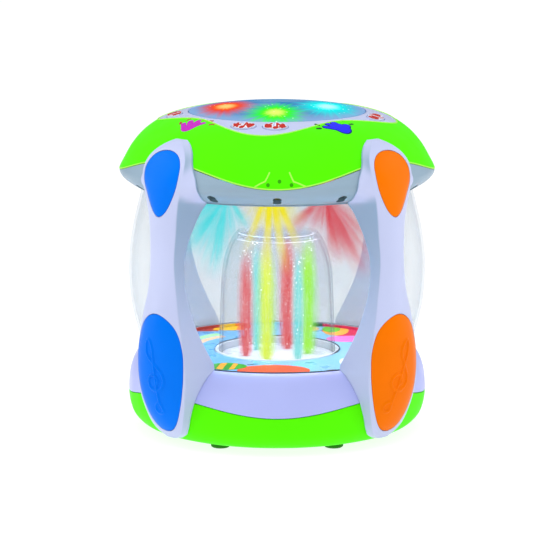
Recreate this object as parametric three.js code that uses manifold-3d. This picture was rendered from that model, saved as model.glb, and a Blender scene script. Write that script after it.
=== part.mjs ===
// A toddler's musical hand drum, about 20 cm across and 21 cm tall, built as it comes apart on a bench.
// A round base holds the batteries, speaker and fan; a clear barrel wall stands on it around a printed
// floor and a clear dome with a blown tinsel fountain; a domed top carries a light-up drum pad and four
// song buttons; four posts clip over the outside, each with a teardrop inlay and an oval touch pad.
// Units are millimetres, +Z is up, the front faces -Y and the origin is the middle of the footprint.

import * as THREE from "three";
import { mergeVertices } from "three/addons/utils/BufferGeometryUtils.js";
import Module from "manifold-3d";

const wasm = await Module();
wasm.setup();

// ---- Driving dimensions -------------------------------------------------------------------------

const SEGMENTS = 32; // facets round every large shell, all starting at +X so that neighbours run parallel
const WALL = 2.5; // moulded shell thickness
const GAP = 0.4; // clearance between fixed neighbours
const FOOT_HEIGHT = 2.7;
const BASE_UNDERSIDE = 3;
const BASE_FLOOR_TOP = 5.5;
const DECK_UNDERSIDE = 46; // the deck under the printed floor
const DECK_TOP = 48.5;
const BASE_LIP_RADIUS = 83.6;
const WINDOW_WALL = 1.6;
const CEILING_UNDERSIDE = 155.2; // roof of the window chamber
const CEILING_TOP = 157.7;
const BASE_SPLIT = { mean: 29, swing: 4 }; // joint line of the base shells, low between the posts
const COVER_EDGE = { mean: 172.6, swing: 6.1 }; // lower edge of the cover, low between the posts
const LOBE = { mean: 67.5, swing: 7.8, turn: THREE.MathUtils.degToRad(-7) }; // four-lobed top opening
const PAD_RADIUS = 55.3;
const PANEL_HOLE = 56;
const FLANGE_RADIUS = 57; // keeps the drum pad under the panel
const TOUCH_PAD = { depth: 1.6, travel: 1.2 };
const POST_GAP = 0.6; // between a post and the shells it saddles
const LIGHT_BOARD_TOP = 184;

// ---- Outlines, as [radius, height] knots ---------------------------------------------------------

const topPath = splineThrough([
  [0, 206.5], [30, 205.1], [50, 203], [65, 199.9], [75, 196], [84, 189.6], [91, 181.6],
  [96, 173], [99, 166.6], [97.3, 162.4], [92.6, 158.6], [88.4, 156.2], [85.4, CEILING_UNDERSIDE],
]);
const basePath = splineThrough([
  [84.6, 51.2], [87.9, 49.6], [91, 44.6], [93.2, 37], [94, 28], [93.7, 20.5], [91.7, 13],
  [88.4, 8.3], [84, 5], [78, BASE_UNDERSIDE],
]);
const windowPath = splineThrough([
  [82.6, 48.9], [83.6, 52.6], [87.7, 63], [92, 81], [93.6, 99], [93.1, 115], [90.7, 131],
  [87.4, 145], [84.9, 154.8],
]);

// ---- Small geometry tools ------------------------------------------------------------------------

function splineThrough(knots) {
  return new THREE.SplineCurve(knots.map(([r, z]) => new THREE.Vector2(r, z)));
}

// The curve parameter where test(point) first turns true.
function findOn(path, test) {
  let low = 0;
  let high = 1;
  for (let i = 0; i < 40; i++) {
    const middle = (low + high) / 2;
    if (test(path.getPoint(middle))) high = middle;
    else low = middle;
  }
  return high;
}

const whereHeight = (path, z) => findOn(path, (p) => p.y <= z);
const whereHeightRising = (path, z) => findOn(path, (p) => p.y >= z);
const whereRadius = (path, r) => findOn(path, (p) => p.x >= r);

// Points along part of an outline, moved by depth to the right of its direction of travel.
function stretch(path, from, to, steps, depth = 0) {
  const points = [];
  for (let i = 0; i <= steps; i++) {
    const t = from + ((to - from) * i) / steps;
    const p = path.getPoint(t);
    const along = path.getTangent(t);
    points.push([p.x + depth * along.y, p.y - depth * along.x]);
  }
  return points;
}

// A smooth function through [x, y] knots, flat beyond the ends.
function curveThrough(knots) {
  const slope = knots.map((_, i) => {
    const [xa, ya] = knots[Math.max(i - 1, 0)];
    const [xb, yb] = knots[Math.min(i + 1, knots.length - 1)];
    return (yb - ya) / (xb - xa);
  });
  return (x) => {
    if (x <= knots[0][0]) return knots[0][1];
    if (x >= knots.at(-1)[0]) return knots.at(-1)[1];
    const i = knots.findIndex(([k]) => k > x) - 1;
    const [xa, ya] = knots[i];
    const [xb, yb] = knots[i + 1];
    const width = xb - xa;
    const t = (x - xa) / width;
    const u = 1 - t;
    return (
      ya * u * u * (1 + 2 * t) + yb * t * t * (1 + 2 * u) + width * t * u * (slope[i] * u - slope[i + 1] * t)
    );
  };
}

function geometryFrom(vertices, faces) {
  const geometry = new THREE.BufferGeometry();
  geometry.setAttribute("position", new THREE.Float32BufferAttribute(vertices.flat(), 3));
  geometry.setIndex(faces.flat());
  return geometry;
}

// A three.js geometry as a manifold-3d solid that faces out.
function solidOf(geometry) {
  const bare = geometry.clone();
  bare.deleteAttribute("normal");
  bare.deleteAttribute("uv");
  const merged = mergeVertices(bare, 1e-4);
  const faces = [];
  for (let i = 0; i < merged.index.count; i += 3) {
    const [a, b, c] = [0, 1, 2].map((k) => merged.index.getX(i + k));
    if (a !== b && b !== c && c !== a) faces.push([a, b, c]);
  }
  const build = (list) =>
    new wasm.Manifold(
      new wasm.Mesh({
        numProp: 3,
        vertProperties: merged.attributes.position.array,
        triVerts: new Uint32Array(list.flat()),
      }),
    );
  const made = build(faces);
  return made.volume() > 0 ? made : build(faces.map(([a, b, c]) => [a, c, b]));
}

function geometryOf(solid) {
  const mesh = solid.getMesh();
  const positions = [];
  for (let i = 0; i < mesh.numVert; i++) {
    positions.push(...mesh.vertProperties.subarray(i * mesh.numProp, i * mesh.numProp + 3));
  }
  const geometry = new THREE.BufferGeometry();
  geometry.setAttribute("position", new THREE.Float32BufferAttribute(positions, 3));
  geometry.setIndex([...mesh.triVerts]);
  geometry.computeVertexNormals();
  return geometry;
}

// A shell round +Z whose closed [radius, height] outline may change with the angle.
function ringSolid(outlineAt, segments = SEGMENTS) {
  const count = outlineAt(0).length;
  const vertices = [];
  const faces = [];
  for (let i = 0; i < segments; i++) {
    const angle = (2 * Math.PI * i) / segments;
    for (const [r, z] of outlineAt(angle)) vertices.push([r * Math.cos(angle), r * Math.sin(angle), z]);
  }
  for (let i = 0; i < segments; i++) {
    const next = (i + 1) % segments;
    for (let k = 0; k < count; k++) {
      const above = (k + 1) % count;
      const [a, b] = [i * count + k, next * count + k];
      const [c, d] = [next * count + above, i * count + above];
      faces.push([a, b, c], [a, c, d]);
    }
  }
  return solidOf(geometryFrom(vertices, faces));
}

// A piece turned on a lathe about +Z: its outline starts and ends on the axis, or is closed.
function turned(points, segments = SEGMENTS) {
  const lathe = new THREE.LatheGeometry(points.map(([r, z]) => new THREE.Vector2(r, z)), segments);
  return solidOf(lathe.rotateX(Math.PI / 2));
}

const closed = (points) => [...points, points[0]];

function box(width, depth, height, x, y, z) {
  return solidOf(new THREE.BoxGeometry(width, depth, height).translate(x, y, z + height / 2));
}

function rod(radius, length, x, y, z, sides = 12) {
  const cylinder = new THREE.CylinderGeometry(radius, radius, length, sides).rotateX(Math.PI / 2);
  return solidOf(cylinder.translate(x, y, z + length / 2));
}

const joined = (solids) => solids.reduce((all, one) => all.add(one));

// A solid skinned over rings of equally many points, with flat ends.
function loft(rings) {
  const count = rings[0].length;
  const vertices = rings.flat();
  const faces = [];
  for (let i = 0; i + 1 < rings.length; i++) {
    for (let k = 0; k < count; k++) {
      const [a, b] = [i * count + k, i * count + ((k + 1) % count)];
      faces.push([a, b, b + count], [a, b + count, a + count]);
    }
  }
  const last = (rings.length - 1) * count;
  for (let k = 1; k + 1 < count; k++) faces.push([0, k + 1, k], [last, last + k, last + k + 1]);
  return solidOf(geometryFrom(vertices, faces));
}

// A cushion-like plate: outline is [across, up] points, and outer and inner give the depth (+X) there.
function plate(outline, outer, inner, rings = [0.45, 0.8, 1]) {
  const heights = outline.map((p) => p[1]);
  const middle = (Math.max(...heights) + Math.min(...heights)) / 2;
  const count = outline.length;
  const vertices = [];
  const faces = [];
  const layer = (depthAt) => {
    const start = vertices.length;
    vertices.push([depthAt(0, middle, 0), 0, middle]);
    for (const share of rings) {
      for (const [s, z] of outline) {
        const [across, up] = [s * share, middle + (z - middle) * share];
        vertices.push([depthAt(across, up, share), across, up]);
      }
    }
    return start;
  };
  const skin = (start, flip) => {
    const add = (a, b, c) => faces.push(flip ? [a, c, b] : [a, b, c]);
    for (let k = 0; k < count; k++) {
      const next = (k + 1) % count;
      add(start, start + 1 + k, start + 1 + next);
      for (let r = 0; r + 1 < rings.length; r++) {
        const [a, b] = [start + 1 + r * count + k, start + 1 + r * count + next];
        add(a, a + count, b + count);
        add(a, b + count, b);
      }
    }
  };
  const front = layer(outer);
  const back = layer(inner);
  skin(front, false);
  skin(back, true);
  const rim = 1 + (rings.length - 1) * count;
  for (let k = 0; k < count; k++) {
    const next = (k + 1) % count;
    const [a, b] = [front + rim + k, front + rim + next];
    const [c, d] = [back + rim + k, back + rim + next];
    faces.push([a, c, d], [a, d, b]);
  }
  return solidOf(geometryFrom(vertices, faces));
}

// ---- The part and its materials --------------------------------------------------------------------

const part = new THREE.Group();

const plastic = (color, roughness = 0.35) =>
  new THREE.MeshStandardMaterial({ color, roughness, metalness: 0 });
const clear = (color, opacity) =>
  new THREE.MeshStandardMaterial({ color, roughness: 0.08, metalness: 0, transparent: true, opacity });
const metal = (color) => new THREE.MeshStandardMaterial({ color, roughness: 0.3, metalness: 0.9 });

const GREEN = plastic(0x5dfe00);
const LAVENDER = plastic(0xc3c8f6);
const GREY_LAVENDER = plastic(0xa8bcd8);
const BLUE = plastic(0x0076f8, 0.3);
const ORANGE = plastic(0xfd8000, 0.3);
const WHITE = plastic(0xe6e9f2);
const CLEAR = clear(0xe8eef2, 0.25);
const RUBBER = plastic(0x2a5a18, 0.8);
const BOARD = plastic(0x1f6b3a, 0.6);
const STEEL = metal(0xb8bcc2);
const BLACK = plastic(0x1a1b1e, 0.5);

function piece(name, solid, material, parent = part) {
  const mesh = new THREE.Mesh(geometryOf(solid), material);
  mesh.name = name;
  parent.add(mesh);
  return mesh;
}

const wave = ({ mean, swing }, angle) => mean - swing * Math.cos(4 * angle);
const lobeRadius = (angle) => LOBE.mean + LOBE.swing * Math.cos(4 * (angle - LOBE.turn));
const domeHeight = (r) => topPath.getPoint(whereRadius(topPath, r)).y;
const polar = (radius, degrees) => {
  const angle = THREE.MathUtils.degToRad(degrees);
  return [radius * Math.cos(angle), radius * Math.sin(angle)];
};

// ---- Base ----------------------------------------------------------------------------------------

const BAY = { x: 0, y: 27.5, width: 56, depth: 47, top: 21, wall: 2 }; // battery bay, open at the bottom
const DOOR = { width: 55, back: 57, front: BAY.y - BAY.depth / 2 + 0.7, top: 5, screwY: 54 };
const SPEAKER = { x: 0, y: -45, radius: 20 };
const SWITCH = { x: -44, y: -8, knob: 4.4, travel: 7 };
const FEET = [[-35, -61], [35, -61], [35, 61], [-35, 61]];

function baseLowerShell() {
  const shell = ringSolid((angle) => {
    const top = whereHeight(basePath, wave(BASE_SPLIT, angle) - GAP);
    const outer = stretch(basePath, top, 1, 5);
    const inner = stretch(basePath, top, 1, 5, WALL).reverse();
    return [...outer, [0, BASE_UNDERSIDE], [0, BASE_FLOOR_TOP], ...inner];
  });
  const { x, y, width, depth, top, wall } = BAY;
  const bay = box(width + 2 * wall, depth + 2 * wall, top + wall - 4, x, y, 4);
  const screwBlock = box(16, 8, 15, 0, DOOR.screwY + 1, 4);
  const grille = [[0, 0], ...[0, 60, 120, 180, 240, 300].map((turn) => polar(8, turn))];
  const cuts = [
    box(width, depth, top, x, y, 0),
    box(DOOR.width + 0.8, DOOR.back + 0.4 - y, DOOR.top + 0.3, 0, (DOOR.back + 0.4 + y) / 2, 0),
    rod(2.1, 8, 0, DOOR.screwY, 4, 10),
    box(SWITCH.knob + SWITCH.travel + 0.8, SWITCH.knob + 0.8, 6, SWITCH.x, SWITCH.y, 1),
    ...grille.map(([dx, dy]) => rod(1.8, 6, SPEAKER.x + dx, SPEAKER.y + dy, 1, 8)),
  ];
  return shell.add(bay).add(screwBlock).subtract(joined(cuts));
}

function baseUpperShell() {
  return ringSolid((angle) => {
    const split = whereHeight(basePath, wave(BASE_SPLIT, angle));
    const outer = stretch(basePath, 0, split, 5);
    const under = whereHeight(basePath, DECK_UNDERSIDE - 3);
    const inner = stretch(basePath, under, split, 3, WALL).reverse();
    return [
      [BASE_LIP_RADIUS, 51.2], ...outer, ...inner, [86, DECK_UNDERSIDE], [40.2, DECK_UNDERSIDE],
      [40.2, DECK_TOP], [BASE_LIP_RADIUS, DECK_TOP],
    ];
  });
}

piece("base_lower_shell", baseLowerShell(), GREEN);
piece("base_upper_shell", baseUpperShell(), LAVENDER);

const discOutline = [[39.9, 48.8], [80.2, 48.8], [80.2, 49.8], [39.9, 49.8]];
piece("scene_disc", turned(closed(discOutline)), plastic(0x7fcdf5, 0.4));

const FOOT_NAMES = ["foot_front_left", "foot_front_right", "foot_rear_right", "foot_rear_left"];
FEET.forEach(([x, y], i) => {
  const foot = turned([[0, 0], [5, 0], [6, 0.8], [6, FOOT_HEIGHT], [0, FOOT_HEIGHT]], 12);
  piece(FOOT_NAMES[i], foot, RUBBER).position.set(x, y, 0);
});

const speakerOutline = [
  [0, 6], [SPEAKER.radius - 3, 6], [SPEAKER.radius, 7], [SPEAKER.radius, 9], [11, 15.5], [11, 19], [0, 19],
];
piece("speaker", turned(speakerOutline, 20), BLACK).position.set(SPEAKER.x, SPEAKER.y, 0);
piece("main_board", box(58, 30, 1.6, 0, -44, 23), BOARD);

[-15.2, 0, 15.2].forEach((offset, i) => {
  const cell = turned([[0, 0], [7, 0], [7, 48.6], [2.6, 48.6], [2.6, 50.2], [0, 50.2]], 14);
  const battery = piece(`battery_${i + 1}`, cell, metal(0x3a6ea8));
  const flip = i % 2 === 0 ? 1 : -1;
  battery.rotation.y = (flip * Math.PI) / 2;
  battery.position.set(-flip * 25.1, BAY.y + offset, 13.4);
});

const doorDepth = DOOR.back - DOOR.front;
const door = box(DOOR.width, doorDepth, 2, 0, (DOOR.front + DOOR.back) / 2, BASE_UNDERSIDE);
piece("battery_door", door.subtract(rod(1.9, 6, 0, DOOR.screwY, 1, 10)), GREEN);
const doorScrew = turned([[0, 1.9], [2.8, 1.9], [2.8, 2.7], [1.5, 2.7], [1.5, 7.5], [0, 7.5]], 10);
piece("battery_door_screw", doorScrew, STEEL).position.set(0, DOOR.screwY, 0);

const switchOff = SWITCH.x - SWITCH.travel / 2;
const slider = box(16, 8, 1.5, SWITCH.x - 3.5, SWITCH.y, BASE_FLOOR_TOP + 0.3);
const knob = box(SWITCH.knob, SWITCH.knob, 5, switchOff, SWITCH.y, 1.6);
piece("power_switch", slider.add(knob), BLACK);

// ---- Fountain --------------------------------------------------------------------------------------

const JETS = { count: 6, circle: 20, first: 191, bottom: 45.6, tall: 122, short: 104 };

const bowlOutline = [
  [2.6, 36], [30, 36], [37, 40], [39.4, 44], [39.4, 50.3], [37.6, 50.3], [37.6, 44.2], [34.4, 44.2],
  [34, 41.5], [29, 38], [2.6, 38],
];
piece("fountain_bowl", turned(closed(bowlOutline), 24), WHITE);
const motorOutline = [
  [0, 23.4], [10, 23.4], [10, 34], [6, 34], [6, 35.6], [1, 35.6], [1, 42.2], [0, 42.2],
];
piece("fan_motor", turned(motorOutline, 16), STEEL);

function fanImpeller() {
  const hub = rod(5, 3.8, 0, 0, 39, 16);
  const blades = [0, 1, 2, 3, 4, 5].map((i) => {
    const blade = new THREE.BoxGeometry(20, 0.9, 3.6).rotateX(0.6).translate(14, 0, 41);
    return solidOf(blade.rotateZ((i * Math.PI) / 3));
  });
  return joined([hub, ...blades]).subtract(rod(1.12, 8, 0, 0, 37, 24));
}

// The nozzle plate and its six tinsel tufts, as one moulded insert.
function tinselFountain() {
  const nozzlePlate = turned([[0, 44.5], [37.2, 44.5], [37.2, 46], [0, 46]], 24);
  const tufts = [];
  for (let i = 0; i < JETS.count; i++) {
    const [x, y] = polar(JETS.circle, JETS.first + (360 / JETS.count) * i);
    const tip = i % 2 === 0 ? JETS.tall : JETS.short;
    const tuft = turned([[0, JETS.bottom], [2.8, JETS.bottom], [2.6, 80], [1.4, tip], [0, tip]], 8);
    tufts.push(tuft.translate([x, y, 0]));
  }
  return joined([nozzlePlate, ...tufts]);
}

piece("fan_impeller", fanImpeller(), WHITE);
piece("tinsel_fountain", tinselFountain(), clear(0xd9f0c0, 0.8));

const domeOutline = [
  [0, 124.2], [23.4, 124.2], [24.2, 125.2], [25.6, 125.2], [28.8, 120.8], [32, 113.4], [34, 105],
  [35.2, 95], [36.2, 70], [37, 46.3], [35.5, 46.3], [34.8, 70], [33.8, 94.6], [32.6, 104],
  [30.6, 112.2], [27.6, 119.4], [25, 122.8], [0, 122.8],
];
piece("fountain_dome", turned(domeOutline, 24), CLEAR);

// ---- Clear barrel wall -----------------------------------------------------------------------------

const windowInner = stretch(windowPath, 0, 1, 8, -WINDOW_WALL).reverse();
const windowOutline = [...stretch(windowPath, 0, 1, 8), ...windowInner];
piece("window_shell", ringSolid(() => windowOutline), CLEAR);

// ---- Top housing, cover and panel --------------------------------------------------------------------

const SCREW = { circle: 90.5, head: 160.4, azimuths: [-25, 0, 25] };
const screwSpots = [0, 90, 180, 270].flatMap((side) =>
  SCREW.azimuths.map((turn) => polar(SCREW.circle, side - 90 + turn)),
);
const BEAM_LENSES = [
  { name: "beam_lens_cyan", color: 0x4fe8e8, at: [-33, -18] },
  { name: "beam_lens_yellow", color: 0xf6f04a, at: [0, -37] },
  { name: "beam_lens_red", color: 0xf04848, at: [33, -18] },
];
const RIM_BOTTOM = 153.8; // lower edge of the ring that centres the window
const BOARD_POSTS = [[29, 29], [-29, 29], [-29, -29], [29, -29]];

function topHousing() {
  const shell = ringSolid((angle) => {
    const edge = whereHeight(topPath, wave(COVER_EDGE, angle) - 0.6);
    const outer = stretch(topPath, edge, 1, 6);
    const inner = stretch(topPath, edge, 1, 6, WALL).reverse();
    return [
      ...outer, [83, CEILING_UNDERSIDE], [83, RIM_BOTTOM], [81.2, RIM_BOTTOM], [81.2, CEILING_UNDERSIDE],
      [0, CEILING_UNDERSIDE], [0, CEILING_TOP], ...inner,
    ];
  });
  const postHeight = LIGHT_BOARD_TOP - 1.9 - (CEILING_TOP - 1);
  const posts = BOARD_POSTS.map(([x, y]) => rod(3.2, postHeight, x, y, CEILING_TOP - 1, 8));
  const recesses = screwSpots.map(([x, y]) => rod(3, 14, x, y, 150, 8));
  const lensHoles = BEAM_LENSES.map(({ at: [x, y] }) => rod(6.4, 8, x, y, 152, 10));
  return joined([shell, ...posts]).subtract(joined([...recesses, ...lensHoles]));
}

function topCover() {
  const shell = ringSolid((angle) => {
    const hole = whereRadius(topPath, lobeRadius(angle));
    const edge = whereHeight(topPath, wave(COVER_EDGE, angle));
    const outer = stretch(topPath, hole, edge, 6);
    const inner = stretch(topPath, hole, edge, 6, WALL).slice(1).reverse();
    return [...outer, ...inner, [outer[0][0], outer[0][1] - 3]];
  });
  const bosses = screwSpots.map(([x, y]) => rod(2.9, 15, x * 0.965, y * 0.965, 165.6, 8));
  const shanks = screwSpots.map(([x, y]) => rod(1.5, 12, x, y, 164, 8));
  return joined([shell, ...bosses]).subtract(joined(shanks));
}

piece("top_housing", topHousing(), GREY_LAVENDER);
piece("top_cover", topCover(), GREEN);

screwSpots.forEach(([x, y], i) => {
  const { head } = SCREW;
  const outline = [[0, head], [2.5, head], [2.5, head + 2], [1.2, head + 2], [1.2, 175.5], [0, 175.5]];
  const name = `cover_screw_${String(i + 1).padStart(2, "0")}`;
  piece(name, turned(outline, 8), STEEL).position.set(x, y, 0);
});

BEAM_LENSES.forEach(({ name, color, at: [x, y] }) => {
  const outline = [
    [0, 150.4], [3.4, 151.2], [5.6, 153.2], [6, 155], [6, 158.4], [7.6, 158.4], [7.6, 160], [0, 160],
  ];
  piece(name, turned(outline, 14), clear(color, 0.8)).position.set(x, y, 0);
});

function lightBoard() {
  const board = rod(52, 1.6, 0, 0, LIGHT_BOARD_TOP - 1.6, 32);
  const lamps = [[-32, -2], [0, -33], [32, -4]].map(([x, y]) => rod(3.6, 7, x, y, LIGHT_BOARD_TOP - 1, 10));
  return joined([board, ...lamps]);
}

piece("light_board", lightBoard(), BOARD);

// ---- Song buttons, on the lobes of the panel ----------------------------------------------------------

const BUTTONS = [
  { name: "song_button_front_left", azimuth: 251.5, wide: 7.8 },
  { name: "song_button_front_right", azimuth: 269, wide: 7.8 },
  { name: "song_button_left", azimuth: 185, wide: 10.5 },
  { name: "song_button_right", azimuth: 342.5, wide: 10.5 },
];
const BUTTON = { circle: 64.4, tall: 5, height: 5.4 };

// A frame on the dome whose +Z is the surface normal and whose +X points away from the middle.
function onDome(radius, azimuth) {
  const slope = Math.atan((domeHeight(radius - 1) - domeHeight(radius + 1)) / 2);
  const [x, y] = polar(radius, azimuth);
  const tilt = new THREE.Quaternion().setFromEuler(
    new THREE.Euler(0, slope, THREE.MathUtils.degToRad(azimuth), "ZYX"),
  );
  return { position: new THREE.Vector3(x, y, domeHeight(radius)), tilt };
}

const ovalRod = (tall, wide, from, to) =>
  new THREE.CylinderGeometry(1, 1, to - from, 16).rotateX(Math.PI / 2).scale(tall, wide, 1)
    .translate(0, 0, (from + to) / 2);

function topPanel() {
  const panel = ringSolid((angle) => {
    const edge = lobeRadius(angle) - GAP;
    const lip = edge + 3;
    const middle = (PANEL_HOLE + edge) / 2;
    const below = (r, drop) => [r, domeHeight(r) - drop];
    return [
      below(PANEL_HOLE, 0), below(PANEL_HOLE, 3.2), below(FLANGE_RADIUS + 0.7, 3.2),
      below(FLANGE_RADIUS + 0.7, 5), below(lip, 5.2), below(lip, 3.6), below(edge, 3.4),
      below(edge, 0), below(middle, 0),
    ];
  });
  const holes = BUTTONS.map(({ azimuth, wide }) => {
    const { position, tilt } = onDome(BUTTON.circle, azimuth);
    const hole = ovalRod(BUTTON.tall + GAP, wide + GAP, -8, 3);
    return solidOf(hole.applyQuaternion(tilt).translate(position.x, position.y, position.z));
  });
  return panel.subtract(joined(holes));
}

piece("top_panel", topPanel(), LAVENDER);

BUTTONS.forEach(({ name, azimuth, wide }) => {
  const { position, tilt } = onDome(BUTTON.circle, azimuth);
  const { tall, height } = BUTTON;
  const button = piece(name, solidOf(ovalRod(tall, wide, -height, 0.5)), LAVENDER);
  button.position.copy(position);
  button.quaternion.copy(tilt);
});

// ---- Drum pad and its return springs --------------------------------------------------------------------

function drumPad() {
  const crown = [0, 18, 36, 48, PAD_RADIUS].map((r) => [r, domeHeight(r) + (r < 50 ? 0.3 : 0)]);
  const edge = domeHeight(PAD_RADIUS);
  return turned([
    ...crown, [PAD_RADIUS, edge - 4], [FLANGE_RADIUS, edge - 4], [FLANGE_RADIUS, edge - 5.6],
    [52, edge - 5.6],
    [51, edge - 2.4], [30, domeHeight(30) - 2.7], [0, domeHeight(0) - 2.7],
  ], SEGMENTS);
}

piece("drum_pad", drumPad(), clear(0x8fb6ea, 0.85));

class Helix extends THREE.Curve {
  constructor(radius, turns, bottom, height) {
    super();
    Object.assign(this, { radius, turns, bottom, height });
  }
  getPoint(t, target = new THREE.Vector3()) {
    const angle = 2 * Math.PI * this.turns * t;
    return target.set(
      this.radius * Math.cos(angle), this.radius * Math.sin(angle), this.bottom + this.height * t,
    );
  }
}

const SPRING = { circle: 44, radius: 3.2, wire: 0.5, turns: 4, bottom: LIGHT_BOARD_TOP + 0.9 };
const springTop = domeHeight(SPRING.circle) - 3.9;
[45, 165, 285].forEach((azimuth, i) => {
  const wire = new THREE.Shape();
  wire.absarc(0, 0, SPRING.wire, 0, 2 * Math.PI);
  const path = new Helix(SPRING.radius, SPRING.turns, SPRING.bottom, springTop - SPRING.bottom);
  const coil = new THREE.ExtrudeGeometry(wire, {
    steps: 28, curveSegments: 2, bevelEnabled: false, extrudePath: path,
  });
  const [x, y] = polar(SPRING.circle, azimuth);
  piece(`pad_spring_${i + 1}`, solidOf(coil), STEEL).position.set(x, y, 0);
});

// ---- Corner posts, with their inlays and touch pads -------------------------------------------------

// The outside of the shells that a post saddles, and the heights at which the post follows it.
const POST_HEIGHTS = [
  7, 10, 14, 19, 25, 32, 38, 43, 47.2, 49.6, 51.4, 58, 65, 74, 84, 97, 110, 124, 137, 148, 155, 156.4,
  158.6, 162, 164.4, 167, 171, 176, 180.5, 184.5, 187.5, 190, 191.6,
];
function saddleRadius(z) {
  if (z < 54) return basePath.getPoint(whereHeight(basePath, z)).x;
  if (z > CEILING_UNDERSIDE) return topPath.getPoint(whereHeight(topPath, z)).x;
  return windowPath.getPoint(whereHeightRising(windowPath, z)).x;
}

// Half-widths of a post by height: at its foot on the shells, and at the ridges of its outer face.
// The foot flares wide towards the drum's front or back, and less towards its sides.
const FOOT_BELOW = [
  [7, 5], [10, 11], [14, 14.4], [22, 17.6], [32, 20.5], [42, 24], [51, 26.5], [58, 25.6], [67, 23],
  [78, 19.6], [88, 17], [100, 14.2], [112, 12.6], [120, 12.3],
];
const wideFoot = curveThrough([
  ...FOOT_BELOW, [130, 13.8], [143, 17.2], [150, 19.6], [157, 24], [162, 27], [166, 27.4],
  [170, 25.6], [173, 23.3], [176.3, 20.7], [180, 17.9], [183, 15.4], [186.5, 11.2], [190, 5.6],
  [191.6, 2.6],
]);
const narrowFoot = curveThrough([
  ...FOOT_BELOW, [130, 13], [143, 14.6], [157, 17.4], [166, 19.4], [173, 19.2], [180, 16.8],
  [183, 14.8], [186.5, 11.2], [190, 5.6], [191.6, 2.6],
]);
const ridgeHalf = curveThrough([
  [7, 4], [10, 9], [14, 12.6], [22, 16.4], [32, 19.4], [47, 21.6], [60, 20.8], [75, 18.2], [86, 15.7],
  [100, 12.6], [118, 10.7], [135, 11.6], [146, 12.6], [158, 14.8], [169, 17], [175, 17.2], [179, 15.9],
  [182.5, 13.3], [186, 9.2], [189, 5], [191.6, 1.6],
]);
// Distance of the face's middle line from the drum's axis, and how much the face falls to its ridges.
const faceCentre = curveThrough([
  [7, 92.6], [10.5, 95], [14, 97.2], [20, 100], [30, 103], [47, 105], [70, 105.6], [86, 105],
  [100, 103], [118, 101.8], [135, 101.8], [146, 102.2], [158, 102.4], [168, 101.9], [174, 100.3],
  [180, 97.3], [186, 93], [190, 88.6], [191.6, 85.6],
]);
const faceFall = curveThrough([
  [7, 0.4], [20, 2.8], [47, 4.4], [86, 4.5], [118, 2.6], [146, 3.6], [160, 3], [170, 2.3],
  [180, 1.8], [191.6, 0.6],
]);

const faceRadius = (s, z) => faceCentre(z) - faceFall(z) * Math.min(1, (s / ridgeHalf(z)) ** 2);
const saddleAt = (s, z) => Math.sqrt((saddleRadius(z) + POST_GAP) ** 2 - s * s);

const SIDE_PAD_OUTLINE = closedSpline([
  [0, 86], [8.6, 83], [15.5, 75.6], [19.4, 63.5], [20, 51], [18.9, 40.6], [16.6, 31], [12, 20.4],
  [6.4, 14], [0, 12],
], 8);
const INLAY_OUTLINE = closedSpline([
  [0, 185.7], [6.2, 184.7], [11, 182], [14, 177.6], [14.8, 172.4], [13.8, 165.8], [10.8, 158.6],
  [7.2, 151.8], [3.6, 147.6], [0, 146],
], 7);

// A smooth outline through one side's [across, up] knots and their mirror images, from the top round.
function closedSpline(knots, steps) {
  const mirrored = knots.slice(1, -1).reverse().map(([s, z]) => [-s, z]);
  const points = [...knots, ...mirrored].map(([s, z]) => new THREE.Vector3(s, z, 0));
  const curve = new THREE.CatmullRomCurve3(points, true, "centripetal");
  const total = 2 * steps;
  return curve.getPoints(total).slice(0, total).map((p) => [p.x, p.y]);
}

function grown(outline, amount) {
  const heights = outline.map((p) => p[1]);
  const middle = (Math.max(...heights) + Math.min(...heights)) / 2;
  return outline.map(([s, z]) => {
    const length = Math.hypot(s, z - middle);
    return [s * (1 + amount / length), middle + (z - middle) * (1 + amount / length)];
  });
}

// An insert lies on the face with a slight crown, over a floor that is sunk into the post.
const insert = (outline, crown, depth) =>
  plate(
    outline,
    (s, z, share) => faceRadius(s, z) + crown * (1 - share ** 5),
    (s, z) => faceRadius(s, z) - depth,
  );
const recess = (outline, depth) =>
  plate(grown(outline, GAP), () => 125, (s, z) => faceRadius(s, z) - depth);

// The wide side of a post's foot is on its left, seen from outside, or on its right if mirrored.
function post(mirrored) {
  const rings = POST_HEIGHTS.map((z) => {
    const [wide, narrow, ridge] = [wideFoot(z), narrowFoot(z), ridgeHalf(z)];
    const outer = [ridge, ridge / 2, 0, -ridge / 2, -ridge].map((s) => [faceRadius(s, z), s, z]);
    const under = [-narrow, -narrow / 2, 0, wide / 2, wide].map((s) => [saddleAt(s, z), s, z]);
    const edge = (s) => [saddleAt(s, z) + 1, s, z];
    const ring = [edge(wide), ...outer, edge(-narrow), ...under];
    return mirrored ? ring.map(([r, s, height]) => [r, -s, height]).reverse() : ring;
  });
  const padRoom = TOUCH_PAD.depth + TOUCH_PAD.travel + GAP;
  const cuts = joined([recess(SIDE_PAD_OUTLINE, padRoom), recess(INLAY_OUTLINE, 1.2)]);
  return loft(rings).subtract(cuts);
}

const sidePad = () => insert(SIDE_PAD_OUTLINE, 1.7, TOUCH_PAD.depth);
const inlay = () => insert(INLAY_OUTLINE, 0.9, 0.8);

const POSTS = [
  { where: "front_left", azimuth: 225, color: BLUE, mirrored: false },
  { where: "front_right", azimuth: 315, color: ORANGE, mirrored: true },
  { where: "rear_right", azimuth: 45, color: BLUE, mirrored: false },
  { where: "rear_left", azimuth: 135, color: ORANGE, mirrored: true },
];

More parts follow.
